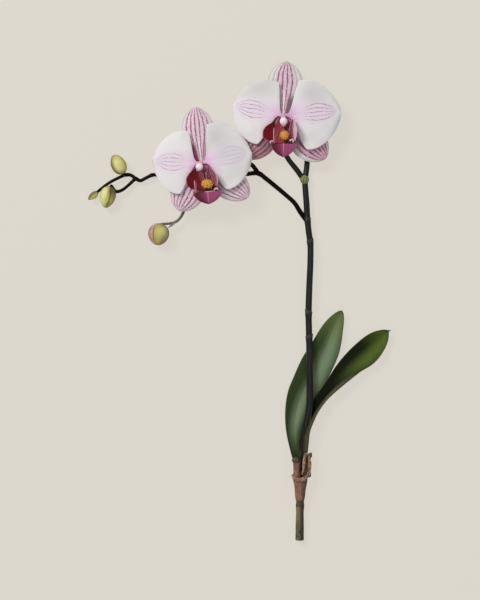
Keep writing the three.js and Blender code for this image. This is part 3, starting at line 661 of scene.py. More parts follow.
def stemFinish(name, look):
    # dark skin, paler along fine streaks, with soft pits, and a narrow waxy gloss
    paint = Paint(name, Roughness=0.38, **{"Specular IOR Level": look["gloss"]})
    s = paint.reading("along")
    streak = paint.grain(0.0016, paint.place((1, 0.12, 1)), 4)
    cloud = paint.grain(0.01, None, 3)
    colour = paint.blend(paint.ease(streak, 0.45, 0.75) * 0.4, shade(*look["body"]), shade(*look["light"]))
    # darker towards the foot; on the spike this is painted shade where it runs down among the leaves
    colour = paint.blend(paint.ease(s, 0.25, 0.0) * 0.8, colour, shade(*look["base"]))
    colour = paint.blend(paint.reading("joint") * 0.6, colour, shade(*[x * 0.55 for x in look["body"]]))
    speck = paint.ease(paint.grain(0.0009, None, 2), 0.66, 0.72)
    colour = paint.blend(speck * 0.2, colour, shade(*look["light"]))
    return paint.done(colour, cloud * 0.12 + 0.25, streak * 0.7 + cloud * 0.4, 0.00014)


def addStem(name, node, look, finish, count, sides=36):
    # a round stem that swells a little below each joint and pinches just above it
    s = np.linspace(0, 1, count)
    radius = drawn(look["radius"], s)
    length = np.linalg.norm(np.diff(routeThrough(look["route"], 80), axis=0), axis=1).sum()
    joint = np.zeros(count)
    for at in look["joints"]:
        swell, pinch = bell(s, at - 0.8 / length, 2.2 / length), bell(s, at + 1.2 / length, 0.8 / length)
        radius = radius + 0.28 * swell - 0.12 * pinch
        joint = np.maximum(joint, bell(s, at + 0.6 / length, 0.6 / length))
    uneven = lambda share, a: 1 + 0.02 * np.sin(3 * a + 9 * share) + 0.018 * np.sin(2 * a - 21 * share)
    grid, readings = stemGrid(routeThrough(look["route"], count), radius, sides, section=uneven)
    readings["joint"] = np.pad(joint, 6)[:, None]  # none on the rings of the two ends
    addPiece(name, (grid, readings), finish, node, "stem")


bracts = {
    "spike_bract_low": {"at": 0.429, "height": 3.8, "lean": 8, "flare": 0.35},
    "spike_bract_middle": {"at": 0.498, "height": 3.8, "lean": -8, "flare": 0.35},
    "spike_bract_high": {"at": 0.699, "height": 3.8, "lean": 10, "flare": 0.25},
    "fork_bract": {"at": 0.763, "height": 3.8, "lean": -14, "flare": 0.5},
}


def addBract(name, look):
    # a thin cuff round the spike, higher on one side, rolled out at its lip: up outside, down inside
    centre = routeThrough(spike["route"], 600)
    s = np.linspace(0, 1, 600)
    length = np.linalg.norm(np.diff(centre, axis=0), axis=1).sum()
    a = ring(64)
    v = np.concatenate([np.linspace(0, 1, 22), np.linspace(1, 0.1, 20)])[:, None]
    inside = np.repeat((0.0, 1.0), (22, 20))[:, None]
    tall = look["height"] * (0.42 + 0.58 * ((1 + np.sin(a + math.radians(look["lean"] * 8))) / 2) ** 2.2)
    along = np.clip(look["at"] + v * tall / length, 0, 1)
    off = 0.36 - 0.22 * inside + look["flare"] * v**2.5 + 0.08 * np.sin(5 * a)
    off = off - np.where(v < 0.12, 0.25 * (1 - v / 0.12) * (1 - inside), 0)
    radius = np.interp(along, s, drawn(spike["radius"], s)) + off
    _, face, side = framesOf(centre)
    spoke = np.cos(a)[..., None] * readAt(side, along) + np.sin(a)[..., None] * readAt(face, along)
    grid = readAt(centre, along) + radius[..., None] * spoke
    addPiece(name + "_cuff", (grid, {"along": v}), bractFinish(name), name, "bract")


bractLook = {"dark": (24, 22, 20), "light": (56, 52, 46), "lip": (96, 88, 74)}


def bractFinish(name):
    # grey-brown skin with darker fibres and a papery pale lip
    paint = Paint(name + "Skin", Roughness=0.55)
    fibres = paint.grain(0.0007, paint.place((1, 0.15, 1)), 4)
    colour = paint.blend(fibres, shade(*bractLook["dark"]), shade(*bractLook["light"]))
    lip = paint.ease(paint.reading("along"), 0.75, 1.0)
    colour = paint.blend(lip * 0.5, colour, shade(*bractLook["lip"]))
    return paint.done(colour, None, fibres, 0.0003)


nodeBud = {
    "at": (4.4, 326.5, 7.3), "size": (8.0, 8.2, 6.6), "heading": 84, "ribs": 9,
    "light": (140, 144, 72), "body": (108, 112, 52), "dark": (66, 72, 30),
}


def addNodeBud():
    # a squat dome whose radius swells by |cos| round it, so that ribs run from foot to tip
    s, a = rise(60, 0.015), ring(108)
    rib = np.abs(np.cos(nodeBud["ribs"] * a / 2))
    r = np.sqrt(s * (1 - s)) * (1 + 0.05 * rib * np.sin(np.pi * s))
    grid = turned(eggGrid(nodeBud["size"], r, s, a), nodeBud["heading"], 0, nodeBud["at"])
    paint = Paint("nodeBudGreen", Roughness=0.45)
    groove = 1 - paint.ease(paint.reading("rib"), 0.1, 0.6)
    cloud = paint.grain(0.0016, None, 3)
    colour = paint.blend(paint.ease(cloud, 0.3, 0.7), shade(*nodeBud["body"]), shade(*nodeBud["light"]))
    colour = paint.blend(groove * 0.75, colour, shade(*nodeBud["dark"]))
    finish = paint.done(colour, cloud * 0.3 + 0.35, cloud - groove, 0.0002)
    addPiece("node_bud_green", (grid, {"rib": rib}), finish, "node_bud", "node_bud")


# each bud's glow colour is a painted highlight, its shaded colour painted shade at the ends, and its shades
# painted shade towards the edges, partly the bud's own olive and brown
buds = {
    "bud_upper": {"at": (-159.4, 331.6, 8.5), "length": 19.3, "width": 13.7, "heading": 118, "pitch": 4,
                  "seams": (28, 158, 275), "overlap": 0.018, "point": 0.06, "body": (200, 192, 98),
                  "shaded": (128, 122, 48), "glow": (226, 219, 142), "pinkLobe": None,
                  "shades": [(0.0, 0.01, -0.35, -0.95, (106, 96, 36), 0.9),
                             (0.6, 1.0, 1.0, -0.4, (140, 128, 52), 0.6),
                             (0.3, 0.0, 1.0, -0.6, (116, 104, 44), 0.6)]},
    "bud_lower": {"at": (-171.5, 320.6, 7.8), "length": 20, "width": 14.5, "heading": -103, "pitch": 0,
                  "seams": (112, 232, 352), "overlap": 0.05, "point": 0.1, "body": (194, 190, 92),
                  "shaded": (122, 116, 46), "glow": (224, 224, 152), "pinkLobe": None,
                  "shades": [(0.7, 0.2, 0.3, -0.3, (96, 74, 32), 0.95),
                             (0.1, 0.2, -0.45, -1.0, (124, 112, 48), 0.8),
                             (0.6, 1.0, 0.2, -0.3, (134, 128, 52), 0.6)]},
    "bud_tip": {"at": (-182.6, 315.3, 7), "length": 11, "width": 6.2, "heading": -142, "pitch": 0,
                "seams": (76, 196, 316), "overlap": 0.05, "point": 0.16, "body": (176, 172, 84),
                "shaded": (96, 92, 34), "glow": (204, 198, 120), "pinkLobe": None,
                "shades": [(0.0, 0.01, 0.0, 0.8, (78, 70, 24), 0.85)]},
    "bud_opening": {"at": (-126.8, 287, 9.6), "length": 20, "width": 18.8, "heading": -95, "pitch": 0,
                    "seams": (60, 182, 300), "overlap": 0.075, "point": 0.04, "body": (180, 170, 84),
                    "shaded": (126, 108, 50), "glow": (206, 202, 128), "pinkLobe": 0,
                    "shades": [(0.4, 0.9, 0.1, -0.8, (124, 92, 44), 0.9),
                               (0.3, 0.0, 0.3, -0.5, (122, 104, 50), 0.7),
                               (0.0, 0.01, 0.7, 1.0, (150, 106, 92), 0.7),
                               (0.0, 0.01, -0.5, -1.0, (134, 112, 50), 0.6)]},
}


budPink = {"light": (212, 182, 164), "dark": (186, 142, 126), "vein": (170, 96, 92)}


def budFinish(name, look):
    # yellow-green with a painted highlight down the middle of each sepal and painted shade at both ends,
    # dark in the seams, with fine veins along it; each shade in the list is painted shade towards the
    # edges, partly the bud's own olive and brown, and comes in between two shares of the length and two
    # places across
    paint = Paint(name + "Skin", Roughness=0.45, **{"Sheen Weight": 0.1, "Specular IOR Level": 0.35})
    s, seam, lobe, side = (paint.reading(key) for key in ("along", "seam", "lobe", "across"))
    cloud = paint.grain(0.004, None, 3)
    veins = paint.lines(lobe + cloud * 0.03, 0.1, 0.008, 0.04)
    # the glow colour is a painted highlight down the middle of each sepal
    colour = paint.blend(paint.ease(abs(lobe), 0.15, 0.9), shade(*look["glow"]), shade(*look["body"]))
    colour = paint.blend(paint.ease(cloud, 0.4, 0.75) * 0.15, colour, shade(*look["shaded"]))
    colour = paint.blend(veins * 0.14, colour, shade(*look["shaded"]))
    # painted shade at both ends of the bud
    colour = paint.blend(paint.ease(s, 0.18, 0.0) * 0.6, colour, shade(*look["shaded"]))
    colour = paint.blend(paint.ease(s, 0.86, 1.0) * 0.5, colour, shade(*look["shaded"]))
    if look["pinkLobe"] is not None:
        pink = paint.blend(paint.ease(cloud, 0.3, 0.7), shade(*budPink["dark"]), shade(*budPink["light"]))
        pink = paint.blend(paint.lines(lobe, 0.22, 0.02, 0.07) * 0.5, pink, shade(*budPink["vein"]))
        colour = paint.blend(paint.ease(paint.reading("pink"), 0.4, 0.6), colour, pink)
    # painted shade towards the edges, partly the bud's own olive and brown
    for first, last, near, far, tone, strength in look["shades"]:
        shaded = paint.ease(s, first, last) * paint.ease(side, near, far)
        colour = paint.blend(shaded * strength, colour, shade(*tone))
    colour = paint.blend(seam * 0.9, colour, shade(*[x * 0.6 for x in look["shaded"]]))
    return paint.done(colour, cloud * 0.2 + 0.36, cloud * 0.5 - veins * 0.3, 0.0002)


def addBud(name, look):
    # an egg: y = length·s, radius = half width·2√(s(1 - s)); each of three sepals laps the next, so
    # the radius steps at a seam, and the step fades at both ends
    s, a = rise(90, 0.012), ring(180)
    lobe, seam, pink = np.zeros_like(a), np.zeros_like(a), np.zeros_like(a)
    for k, at in enumerate(look["seams"]):
        start = math.radians(at)
        span = (math.radians(look["seams"][(k + 1) % 3]) - start) % (2 * np.pi)
        inside = (a - start) % (2 * np.pi) / span
        lobe = np.where(inside < 1, inside * 2 - 1, lobe)
        pink = np.where((inside < 1) & (look["pinkLobe"] is not None) & (k != look["pinkLobe"]), 1, pink)
        gap = np.abs((a - start + np.pi) % (2 * np.pi) - np.pi)
        seam = np.maximum(seam, bell(gap, 0, 0.085))
    fade = ease(s, 0.02, 0.25) * (1 - ease(s, 0.9, 1.0))
    half = look["width"] * np.sqrt(s * (1 - s)) * (1 + 0.12 * (0.5 - s))
    step = 0.6 * look["overlap"] * lobe + 0.03 * seam - 0.012 * np.cos(lobe * np.pi)
    radius = half * (1 - fade * step)
    nib = look["point"] * ease(s, 0.8, 1.0) ** 3
    along = look["length"] * (s * (1 - look["point"] * 0.5) + nib * 0.5) * np.ones_like(a)
    local = np.stack([radius * np.cos(a), along, radius * np.sin(a)], -1)
    grid = turned(local, look["heading"], look["pitch"], look["at"])
    readings = {"along": s, "across": np.cos(a), "lobe": lobe, "seam": seam * fade, "pink": pink}
    addPiece(name + "_sepals", (grid, readings), budFinish(name, look), name, "bud")


stalkBract = {
    "at": (-111.4, 288.6, 9.2), "length": 10.2, "width": 2.6, "thickness": 0.8, "heading": -142,
    "light": (148, 142, 128), "dark": (104, 100, 86), "vein": (88, 82, 68),
}


def addStalkBract():
    look = stalkBract

    def place(s, t):
        # a narrow boat shape: half width rises and falls along it, its margins lifted
        half = look["width"] / 2 * (0.35 + 0.65 * ease(s, 0, 0.4)) * (1 - s**2.2) ** 0.8
        up = 0.5 * np.sin(np.pi * s) + 0.5 * t * t * (1 - s)
        local = np.stack([half * t, look["length"] * s * np.ones_like(t), up], -1)
        return turned(local, look["heading"], 0, look["at"]), np.array((0, 0, 1.0))

    finish = paperFinish("stalkBractPaper", look, (0.3, 1, 1))
    addPiece("stalk_bract_boat", bladeGrid(place, look["thickness"], 40, 40), finish, "stalk_bract", "bract")


petalShape = {"claw": (0.05, 0.08, 0.4), "peak": 0.44, "power": 1.8, "tip": 0.66,
              "height": 1.9, "arch": 1.6, "droop": 3.4, "roll": 2.6, "thickness": 0.75}
sepalShape = {"claw": (0.12, -0.18, 0.62), "peak": 0.58, "power": 2, "tip": 0.62,
              "height": -0.8, "arch": 0.6, "droop": 5.2, "roll": 2.2, "thickness": 0.75}
# half width of the lens of veins along a petal, mm
veinLens = [(0, 2.4), (0.2, 4.4), (0.36, 7), (0.56, 10.2), (0.74, 8.6), (0.88, 4), (0.95, 1.4), (1, 0.9)]

petalLook = {
    "body": (228, 225, 223), "shadow": (206, 203, 198), "tint": (228, 206, 222), "blush": (238, 212, 232),
    "heart": (234, 172, 220), "vein": (126, 86, 108), "tintStrength": 0.6, "veinStrength": 0.85,
    "back": (226, 218, 222), "backRose": (222, 196, 212),
    # patches of painted shade on the petal
    "paintedShadePatches": [],  # middle and reach along, middle and reach across, colour, strength
}
sepalLook = {
    "body": (224, 196, 208), "margin": (218, 213, 209), "marginAt": (0.5, 0.72),
    "stripe": (122, 56, 82), "every": 0.27, "start": 0.135, "stripeStrength": 0.95,
    # deep: partly the sepal's own colour, partly painted shadow under the petals
    "deep": (92, 34, 56), "deepReach": 0.45, "deepStrength": 0.55, "deepSide": 0.0,
    "heart": (236, 224, 226), "heartStrength": 0.8, "back": (220, 206, 206),
}

flowerA = {
    "name": "flower_a", "middle": (-88.8, 340, 27.6),
    "column": {"turn": -27, "cap": (-1.6, -3.6, 8.4), "capSize": (6.6, 7.2, 6)},
    "tepals": {
        "dorsal_sepal": {"heading": 96, "length": 51.6, "left": 15, "right": 15, "wave": 0.4,
                         "look": {"body": (228, 206, 217), "stripe": (138, 50, 86), "deep": (100, 24, 50),
                                  "deepStrength": 1.0, "deepSide": -1.0, "marginAt": (0.7, 1.0)}},
        "left_sepal": {"heading": -116, "length": 46.8, "left": 15.4, "right": 15.8, "wave": 0.4,
                       "look": {"body": (230, 214, 222), "stripe": (148, 38, 82), "deep": (140, 30, 78),
                                "marginAt": (0.75, 1.0), "stripeStrength": 0.95, "deepStrength": 0.35}},
        "right_sepal": {"heading": -35, "length": 52, "left": 14.8, "right": 14.4, "wave": 0.5,
                        "look": {"body": (230, 214, 221), "stripe": (144, 54, 90), "deep": (112, 44, 70),
                                 "marginAt": (0.75, 1.0), "deepStrength": 0.6, "deepReach": 0.7}},
        "left_petal": {"heading": 175, "length": 44.3, "left": 29, "right": 27.8, "wave": 0.7,
                       "shoulder": (0.05, 0.1, 0.34), "lensOff": -1.1, "look": {"vein": (160, 112, 140)}},
        "right_petal": {"heading": 11.5, "length": 46.6, "left": 33.6, "right": 27.4, "wave": 0.7,
                        "shoulder": (0.05, 0.07, 0.28), "lensOff": -2.2,
                        "look": {"vein": (176, 150, 170), "tint": (214, 204, 216), "veinStrength": 0.5,
                                 "paintedShadePatches": [(0.35, 0.45, -0.6, 0.6, (196, 193, 190), 0.7)]}},
    },
    "throat": {"foot": (4.6, -25.2, 2.2), "heading": 95, "length": 25, "half": 10.6, "streaks": 0.5,
               "near": (130, 50, 62)},
    "shield": {"foot": (5.9, -25.6, 5.4), "heading": -84.5, "length": 11.2, "half": 13.6},
    "leftEar": {"foot": (-4.6, -23.2, 5.0), "heading": 86.5, "length": 19.8, "turn": 12, "lean": 10,
                "left": [(0, 4.6), (0.06, 6.4), (0.38, 9.6), (0.65, 8), (0.88, 4.4), (1, 1.6)],
                "right": [(0, 7.4), (0.3, 8), (0.6, 6.4), (0.85, 3.6), (1, 1.2)], "streak": 0.6},
    "rightEar": {"foot": (10.4, -20.5, 4.4), "heading": 100, "length": 17.6, "turn": -38, "lean": 8,
                 "left": [(0, 2.6), (0.4, 3.4), (0.8, 2.6), (1, 0.8)],
                 "right": [(0, 6.4), (0.35, 9.4), (0.7, 8.2), (0.9, 4.6), (1, 1.6)],
                 "inner": (96, 20, 40), "outer": (150, 72, 94)},
    "callus": {"at": (5.6, -18.4, 7.6), "size": (11.2, 8.2, 6)},
    "curls": [[(-7.0, -25.6, 6.4), (-8.6, -26.2, 7.2), (-7.8, -27.2, 7.6)],
              [(12.2, -23.4, 6.6), (14, -22.6, 7.6), (15.2, -23.4, 8)]],
}
flowerB = {
    "name": "flower_b", "middle": (-15.3, 383.3, 21.5),
    "column": {"turn": 4, "cap": (0.4, -5.9, 8.4), "capSize": (6.9, 7.4, 6.2)},
    "tepals": {
        "dorsal_sepal": {"heading": 86.5, "length": 50, "left": 16.2, "right": 16.2, "wave": 0.4,
                         "look": {"deepStrength": 0.85, "marginAt": (0.46, 0.64), "heartStrength": 0.95}},
        "left_sepal": {"heading": -133, "length": 51, "left": 14.4, "right": 16, "wave": 0.5,
                       "look": {"body": (184, 130, 138), "margin": (186, 148, 150), "stripe": (86, 26, 44),
                                "deep": (104, 46, 58), "marginAt": (0.8, 1.0), "heartStrength": 0.0,
                                "deepReach": 0.8}},
        "right_sepal": {"heading": -44.5, "length": 54.5, "left": 16, "right": 17, "wave": 0.5,
                        "look": {"body": (222, 176, 196), "stripe": (116, 40, 66), "deep": (110, 44, 62),
                                 "marginAt": (0.62, 0.85), "deepStrength": 0.85, "deepReach": 0.66,
                                 "heartStrength": 0.0}},
        "left_petal": {"heading": 169, "length": 47, "left": 29.6, "right": 28.8, "wave": 0.7,
                       "shoulder": (0.05, 0.03, 0.22), "lensOff": 0.8,
                       "look": {"paintedShadePatches": [(0.6, 0.6, 0.75, 0.6, (196, 193, 188), 0.75)]}},
        "right_petal": {"heading": 3, "length": 52.7, "left": 31, "right": 31.6, "wave": 0.7,
                        "shoulder": (0.05, 0.07, 0.33), "lensOff": -1.8,
                        "look": {"heart": (214, 140, 196), "veinStrength": 0.9,
                                 "paintedShadePatches": [(0.5, 0.36, -0.55, 0.5, (198, 194, 192), 0.65),
                                             (0.1, 0.16, 0.7, 0.7, (148, 104, 132), 0.7)]}},
    },
    "throat": {"foot": (0.6, -25.2, 2.2), "heading": 91, "length": 25, "half": 9.8, "streaks": 0.25,
               "near": (160, 66, 72)},
    "shield": {"foot": (0.5, -25.2, 5.4), "heading": -91, "length": 12.4, "half": 12.2},
    "leftEar": {"foot": (-9.4, -22.4, 4.4), "heading": 84.4, "length": 16.8, "turn": 10, "lean": 10,
                "left": [(0, 4), (0.05, 6.8), (0.3, 9.8), (0.5, 9.6), (0.72, 7.8), (0.9, 4.8), (1, 2)],
                "right": [(0, 3), (0.5, 1.4), (1, 0.8)], "streak": 0.0},
    "rightEar": {"foot": (9.4, -22.4, 4.6), "heading": 89, "length": 19, "turn": -58, "lean": 8,
                 "left": [(0, 2.4), (0.3, 3.4), (0.7, 2.6), (1, 0.8)],
                 "right": [(0, 5.2), (0.35, 9.6), (0.7, 8.4), (0.9, 4.4), (1, 1.4)],
                 "inner": (128, 30, 62), "outer": (238, 206, 218)},
    "callus": {"at": (1.2, -17.9, 7.6), "size": (8.2, 8.2, 6)},
    "curls": [[(-9.6, -23.4, 6.2), (-11.2, -23.6, 7), (-11.4, -25, 7.4)],
              [(6.4, -22.6, 6.6), (7.8, -21.9, 7.6), (9.2, -22.8, 8), (8.6, -24.2, 7.8)]],
}


def petalFinish(name, look):
    # white with a lens of mauve veins: the readings give how far along a petal a point is, and how
    # far out in the lens; broad cloudy grey is painted shade, a wide pale blush deepens at the claw,
    # and soft patches of painted shade lie where set
    sheen = {"Sheen Weight": 0.15, "Sheen Roughness": 0.5, "Specular IOR Level": 0.3}
    paint = Paint(name, Roughness=0.6, **sheen)
    s, t, vein, front = (paint.reading(key) for key in ("along", "across", "vein", "front"))
    cloud = paint.grain(0.016, None, 2)
    fine = paint.grain(0.0016, None, 3)
    # broad cloudy grey: painted shade
    colour = paint.blend(paint.ease(cloud, 0.45, 0.7) * 0.3, shade(*look["body"]), shade(*look["shadow"]))
    # patches of painted shade
    for middle, reach, across, spread, tone, strength in look["paintedShadePatches"]:
        patch = paint.ease(abs(s - middle), reach, 0.0) * paint.ease(abs(t - across), spread, 0.0)
        colour = paint.blend(patch * strength, colour, shade(*tone))
    blush = paint.ease(s, 0.55, 0.15) * paint.ease(abs(vein), 3.0, 0.6)
    colour = paint.blend(blush * 0.7, colour, shade(*look["blush"]))
    inLens = paint.ease(abs(vein), 1.3, 0.6) * paint.ease(s, 0.1, 0.42) * paint.ease(s, 0.95, 0.82)
    colour = paint.blend(inLens * look["tintStrength"], colour, shade(*look["tint"]))
    heart = paint.ease(s, 0.36, 0.05) * paint.ease(abs(vein), 3.0, 0.4)
    colour = paint.blend(heart * 0.62, colour, shade(*look["heart"]))
    wander = (paint.grain(0.007, None, 2) - 0.5) * 0.22
    thread = paint.lines(vein + wander, 0.36, 0.01, 0.05)
    shown = paint.ease(s, 0.26, 0.5) * paint.ease(s, 0.945, 0.9) * paint.ease(abs(vein), 1.1, 0.95)
    broken = paint.ease(fine, 0.4, 0.56) * 0.65 + 0.35
    colour = paint.blend(thread * shown * broken * look["veinStrength"], colour, shade(*look["vein"]))
    back = paint.blend(paint.ease(cloud, 0.3, 0.7) * 0.5, shade(*look["back"]), shade(*look["backRose"]))
    colour = paint.blend(front, back, colour)
    ribs = paint.lines(t + wander * 0.1, 0.06, 0.0, 0.03)
    return paint.done(colour, None, ribs * 0.5 + fine * 0.5, 0.00012)


def sepalFinish(name, look):
    # pink between paler margins, stripes at even steps across that run into the tip, deep colour at
    # the foot's sides, partly the sepal's own and partly painted shadow where a petal lies over it, and a
    # whitish heart between them
    look = {**sepalLook, **look}
    paint = Paint(name, Roughness=0.52, **{"Sheen Weight": 0.2, "Sheen Roughness": 0.5})
    s, t, front = (paint.reading(key) for key in ("along", "across", "front"))
    fine = paint.grain(0.0014, None, 3)
    cloud = paint.grain(0.008, None, 2)
    wander = (cloud - 0.5) * 0.12
    outer = paint.ease(abs(t), *look["marginAt"])
    mesh = paint.ease(paint.grain(0.0013, paint.flat(s * 0.05, t * 0.016), 3), 0.44, 0.62)
    colour = paint.blend(mesh * 0.5, shade(*look["body"]), shade(*[x * 0.8 for x in look["body"]]))
    colour = paint.blend(outer, colour, shade(*look["margin"]))
    heart = paint.ease(abs(t), 0.22, 0.05) * paint.ease(s, 0.55, 0.3)
    colour = paint.blend(heart * look["heartStrength"], colour, shade(*look["heart"]))
    # deep colour: partly the sepal's own, partly painted shadow under the petal
    deep = paint.ease(abs(t), 0.12, 0.5) * paint.ease(t * look["deepSide"], -1.0, 0.1)
    deep = deep * paint.ease(s, look["deepReach"], look["deepReach"] * 0.6)
    colour = paint.blend(deep * look["deepStrength"], colour, shade(*look["deep"]))
    stripe = paint.lines(t + wander + look["start"], look["every"], 0.026, 0.075)
    broken = paint.ease(fine, 0.38, 0.52) * 0.6 + 0.4
    ends = paint.ease(s, 0.02, 0.12) * (1 - paint.ease(s, 0.94, 1.0) * 0.6) * paint.ease(abs(t), 1.0, 0.94)
    shown = (1 - outer * 0.55) * ends
    colour = paint.blend(stripe * broken * shown * look["stripeStrength"], colour, shade(*look["stripe"]))
    side = paint.lines(t + wander * 2 + look["start"] + look["every"] * 0.5, look["every"], 0.006, 0.035)
    colour = paint.blend(side * paint.ease(fine, 0.45, 0.6) * shown * 0.4, colour, shade(*look["stripe"]))
    back = paint.blend(stripe * 0.5, shade(*look["back"]), shade(*look["stripe"]))
    colour = paint.blend(front, back, colour)
    return paint.done(colour, None, stripe * -0.6 + fine * 0.4, 0.00014)


def tepalHalf(name, look, s, t):
    # half width on the side of t; a petal's side towards the upright sepal leaves the claw sooner
    shape = petalShape if "petal" in name else sepalShape
    half = np.where(t < 0, look["left"], look["right"]) * outlineAt(shape, s)
    if "petal" not in name:
        return half
    upper = np.where(t < 0, look["left"], look["right"]) * outlineAt({**shape, "claw": look["shoulder"]}, s)
    return np.where((t > 0) == ("left" in name), upper, half)


def addTepal(flower, name, look):
    shape = petalShape if "petal" in name else sepalShape
    phase = look["heading"] / 20

    def place(s, t):
        # x = t·half width·outline, y = length·s, and a height that arches, droops to the tip and
        # rolls back at the margins, with ripples that grow towards the margin
        half = tepalHalf(name, look, s, t)
        ripple = look["wave"] * t**4 * np.sin(9 * s + phase + 2 * t) * ease(s, 0.1, 0.5)
        groove = 0.35 * bell(t, 0, 0.07) * (1 - ease(s, 0.5, 0.95))
        z = shape["height"] + shape["arch"] * np.sin(np.pi * s) - shape["droop"] * s * s
        z = z - shape["roll"] * t * t * s + ripple - groove
        local = np.stack([t * half, look["length"] * s * np.ones_like(t), z], -1)
        return turned(local, look["heading"], 0, flower["middle"]), np.array((0, 0, 1.0))

    grid, readings = bladeGrid(place, shape["thickness"], 110, 88)
    node = flower["name"] + "_" + name
    if "petal" in name:
        s, t = readings["along"], readings["across"]
        off = look["lensOff"] * ease(s, 0.1, 0.7)
        readings["vein"] = np.clip((t * tepalHalf(name, look, s, t) - off) / drawn(veinLens, s), -3, 3)
        finish = petalFinish(node + "White", {**petalLook, **look["look"]})
    else:
        finish = sepalFinish(node + "Stripes", look["look"])
    addPiece(node + "_blade", (grid, readings), finish, node, "petal" if "petal" in name else "sepal")


lipLook = {
    "shield": (158, 72, 110), "shieldShadeAndStreaks": (92, 24, 50), "ridge": (200, 112, 144), "rim": (214, 150, 172),
    "ear": (122, 8, 20), "earDark": (84, 5, 14), "earRim": (206, 138, 158), "throatShade": (84, 14, 30),
    "pale": (232, 200, 208), "throatTop": (190, 96, 132), "earGrey": (150, 106, 112),
    "curl": (236, 214, 220), "curlRose": (206, 128, 158),
}


def lipFinish(name, draw):
    # a satin finish whose colour is mixed by the draw function
    paint = Paint(name, Roughness=0.5, **{"Specular IOR Level": 0.2})
    fine = paint.grain(0.0011, None, 3)
    return paint.done(draw(paint, fine), fine * 0.2 + 0.4, fine, 0.00014)


def shieldColour(paint, fine):
    # rose, with painted shade to one side and at the tip, faint streaks, a pale ridge and a paler rim
    s, t = paint.reading("along"), paint.reading("across")
    # painted shade across to the side away from the lamp
    colour = paint.blend(paint.ease(t, -0.3, 0.8), shade(*lipLook["shield"]), shade(*lipLook["shieldShadeAndStreaks"]))
    streaks = paint.lines(t + fine * 0.06, 0.36, 0.01, 0.06) * paint.ease(s, 0.9, 0.4)
    colour = paint.blend(streaks * 0.3, colour, shade(*lipLook["shieldShadeAndStreaks"]))
    # painted shade at the tip
    tip = paint.ease(s, 0.4, 1.0) * paint.ease(t, -0.2, 0.6)
    colour = paint.blend(tip * 0.5, colour, shade(*lipLook["shieldShadeAndStreaks"]))
    colour = paint.blend((1 - paint.ease(abs(t), 0.02, 0.09)) * 0.8, colour, shade(*lipLook["ridge"]))
    edge = paint.ease(abs(t), 0.93, 1.0)
    return paint.blend(edge * 0.5, colour, shade(*lipLook["rim"]))


def earColour(look):
    # blood red, greyer and streaked towards the throat, with a pale rim
    def draw(paint, fine):
        s, t = paint.reading("along"), paint.reading("across")
        colour = paint.blend(paint.ease(fine, 0.35, 0.7), shade(*lipLook["ear"]), shade(*lipLook["earDark"]))
        greyer = paint.ease(t + s * 0.9, 0.72, 1.15) * look["streak"]
        lit = paint.lines(t + s * 0.1 + fine * 0.05, 0.26, 0.02, 0.08)
        colour = paint.blend(greyer * (lit * 0.6 + 0.4), colour, shade(*lipLook["earGrey"]))
        return paint.blend(paint.ease(abs(t), 0.91, 0.98) * 0.7, colour, shade(*lipLook["earRim"]))
    return draw


def throatColour(look):
    # painted shade that deepens across the hollow from one side, with broken pale arches round the callus, a
    # rose top and pale margins
    def draw(paint, fine):
        s, t = paint.reading("along"), paint.reading("across")
        # painted shade in the hollow of the throat
        far = paint.ease(t + fine * 0.2, -0.2, 0.35)
        colour = paint.blend(far, shade(*look["near"]), shade(*lipLook["throatShade"]))
        arch = t * t + (s - 0.1) * (s - 0.1) * 1.5
        lit = paint.lines(arch + fine * 0.12, 0.27, 0.01, 0.06) * paint.ease(fine, 0.35, 0.6)
        colour = paint.blend(lit * look["streaks"], colour, shade(*lipLook["pale"]))
        colour = paint.blend(paint.ease(s, 0.62, 0.85) * 0.8, colour, shade(*lipLook["throatTop"]))
        return paint.blend(paint.ease(abs(t), 0.9, 0.98) * 0.6, colour, shade(*lipLook["pale"]))
    return draw


def tiltedBlade(flower, look, halves, cup, rows=64, around=64, thickness=0.8):
    # a small blade stood on its foot: it is turned about its own length, leaned back, then aimed
    turn, lean = math.radians(look.get("turn", 0)), math.radians(look.get("lean", 0))

    def place(s, t):
        left, right = halves(s)
        x = t * np.where(t < 0, left, right) * np.sqrt(1 - s**9)
        y = look["length"] * s * np.ones_like(t)
        z = cup(s, t) * np.ones_like(x)
        x, z = x * math.cos(turn) + z * math.sin(turn), z * math.cos(turn) - x * math.sin(turn)
        y, z = y * math.cos(lean) - z * math.sin(lean), z * math.cos(lean) + y * math.sin(lean)
        facing = np.array((math.sin(turn), -math.cos(turn) * math.sin(lean), math.cos(turn) * math.cos(lean)))
        middle = np.array(flower["middle"]) + np.array(look["foot"])
        return turned(np.stack([x, y, z], -1), look["heading"], 0, middle), turned(facing, look["heading"])

    return bladeGrid(place, thickness, rows, around)


def rightEarColour(look):
    # from the inner colour out to the outer one, with broken dark and pale streaks and a pale rim
    def draw(paint, fine):
        s, t = paint.reading("along"), paint.reading("across")
        out = paint.ease(t + fine * 0.5, 0.1, 0.8)
        colour = paint.blend(out, shade(*look["inner"]), shade(*look["outer"]))
        along = t + s * s * 0.4
        streaks = paint.lines(along + fine * 0.2, 0.3, 0.01, 0.07) * paint.ease(fine, 0.4, 0.55)
        colour = paint.blend(streaks * 0.7, colour, shade(*[x * 0.72 for x in look["inner"]]))
        lights = paint.lines(along + fine * 0.3 + 0.15, 0.3, 0.01, 0.06) * paint.ease(fine, 0.6, 0.45)
        colour = paint.blend(lights * 0.45, colour, shade(*lipLook["pale"]))
        return paint.blend(paint.ease(abs(t), 0.84, 0.97) * 0.8, colour, shade(*lipLook["pale"]))
    return draw


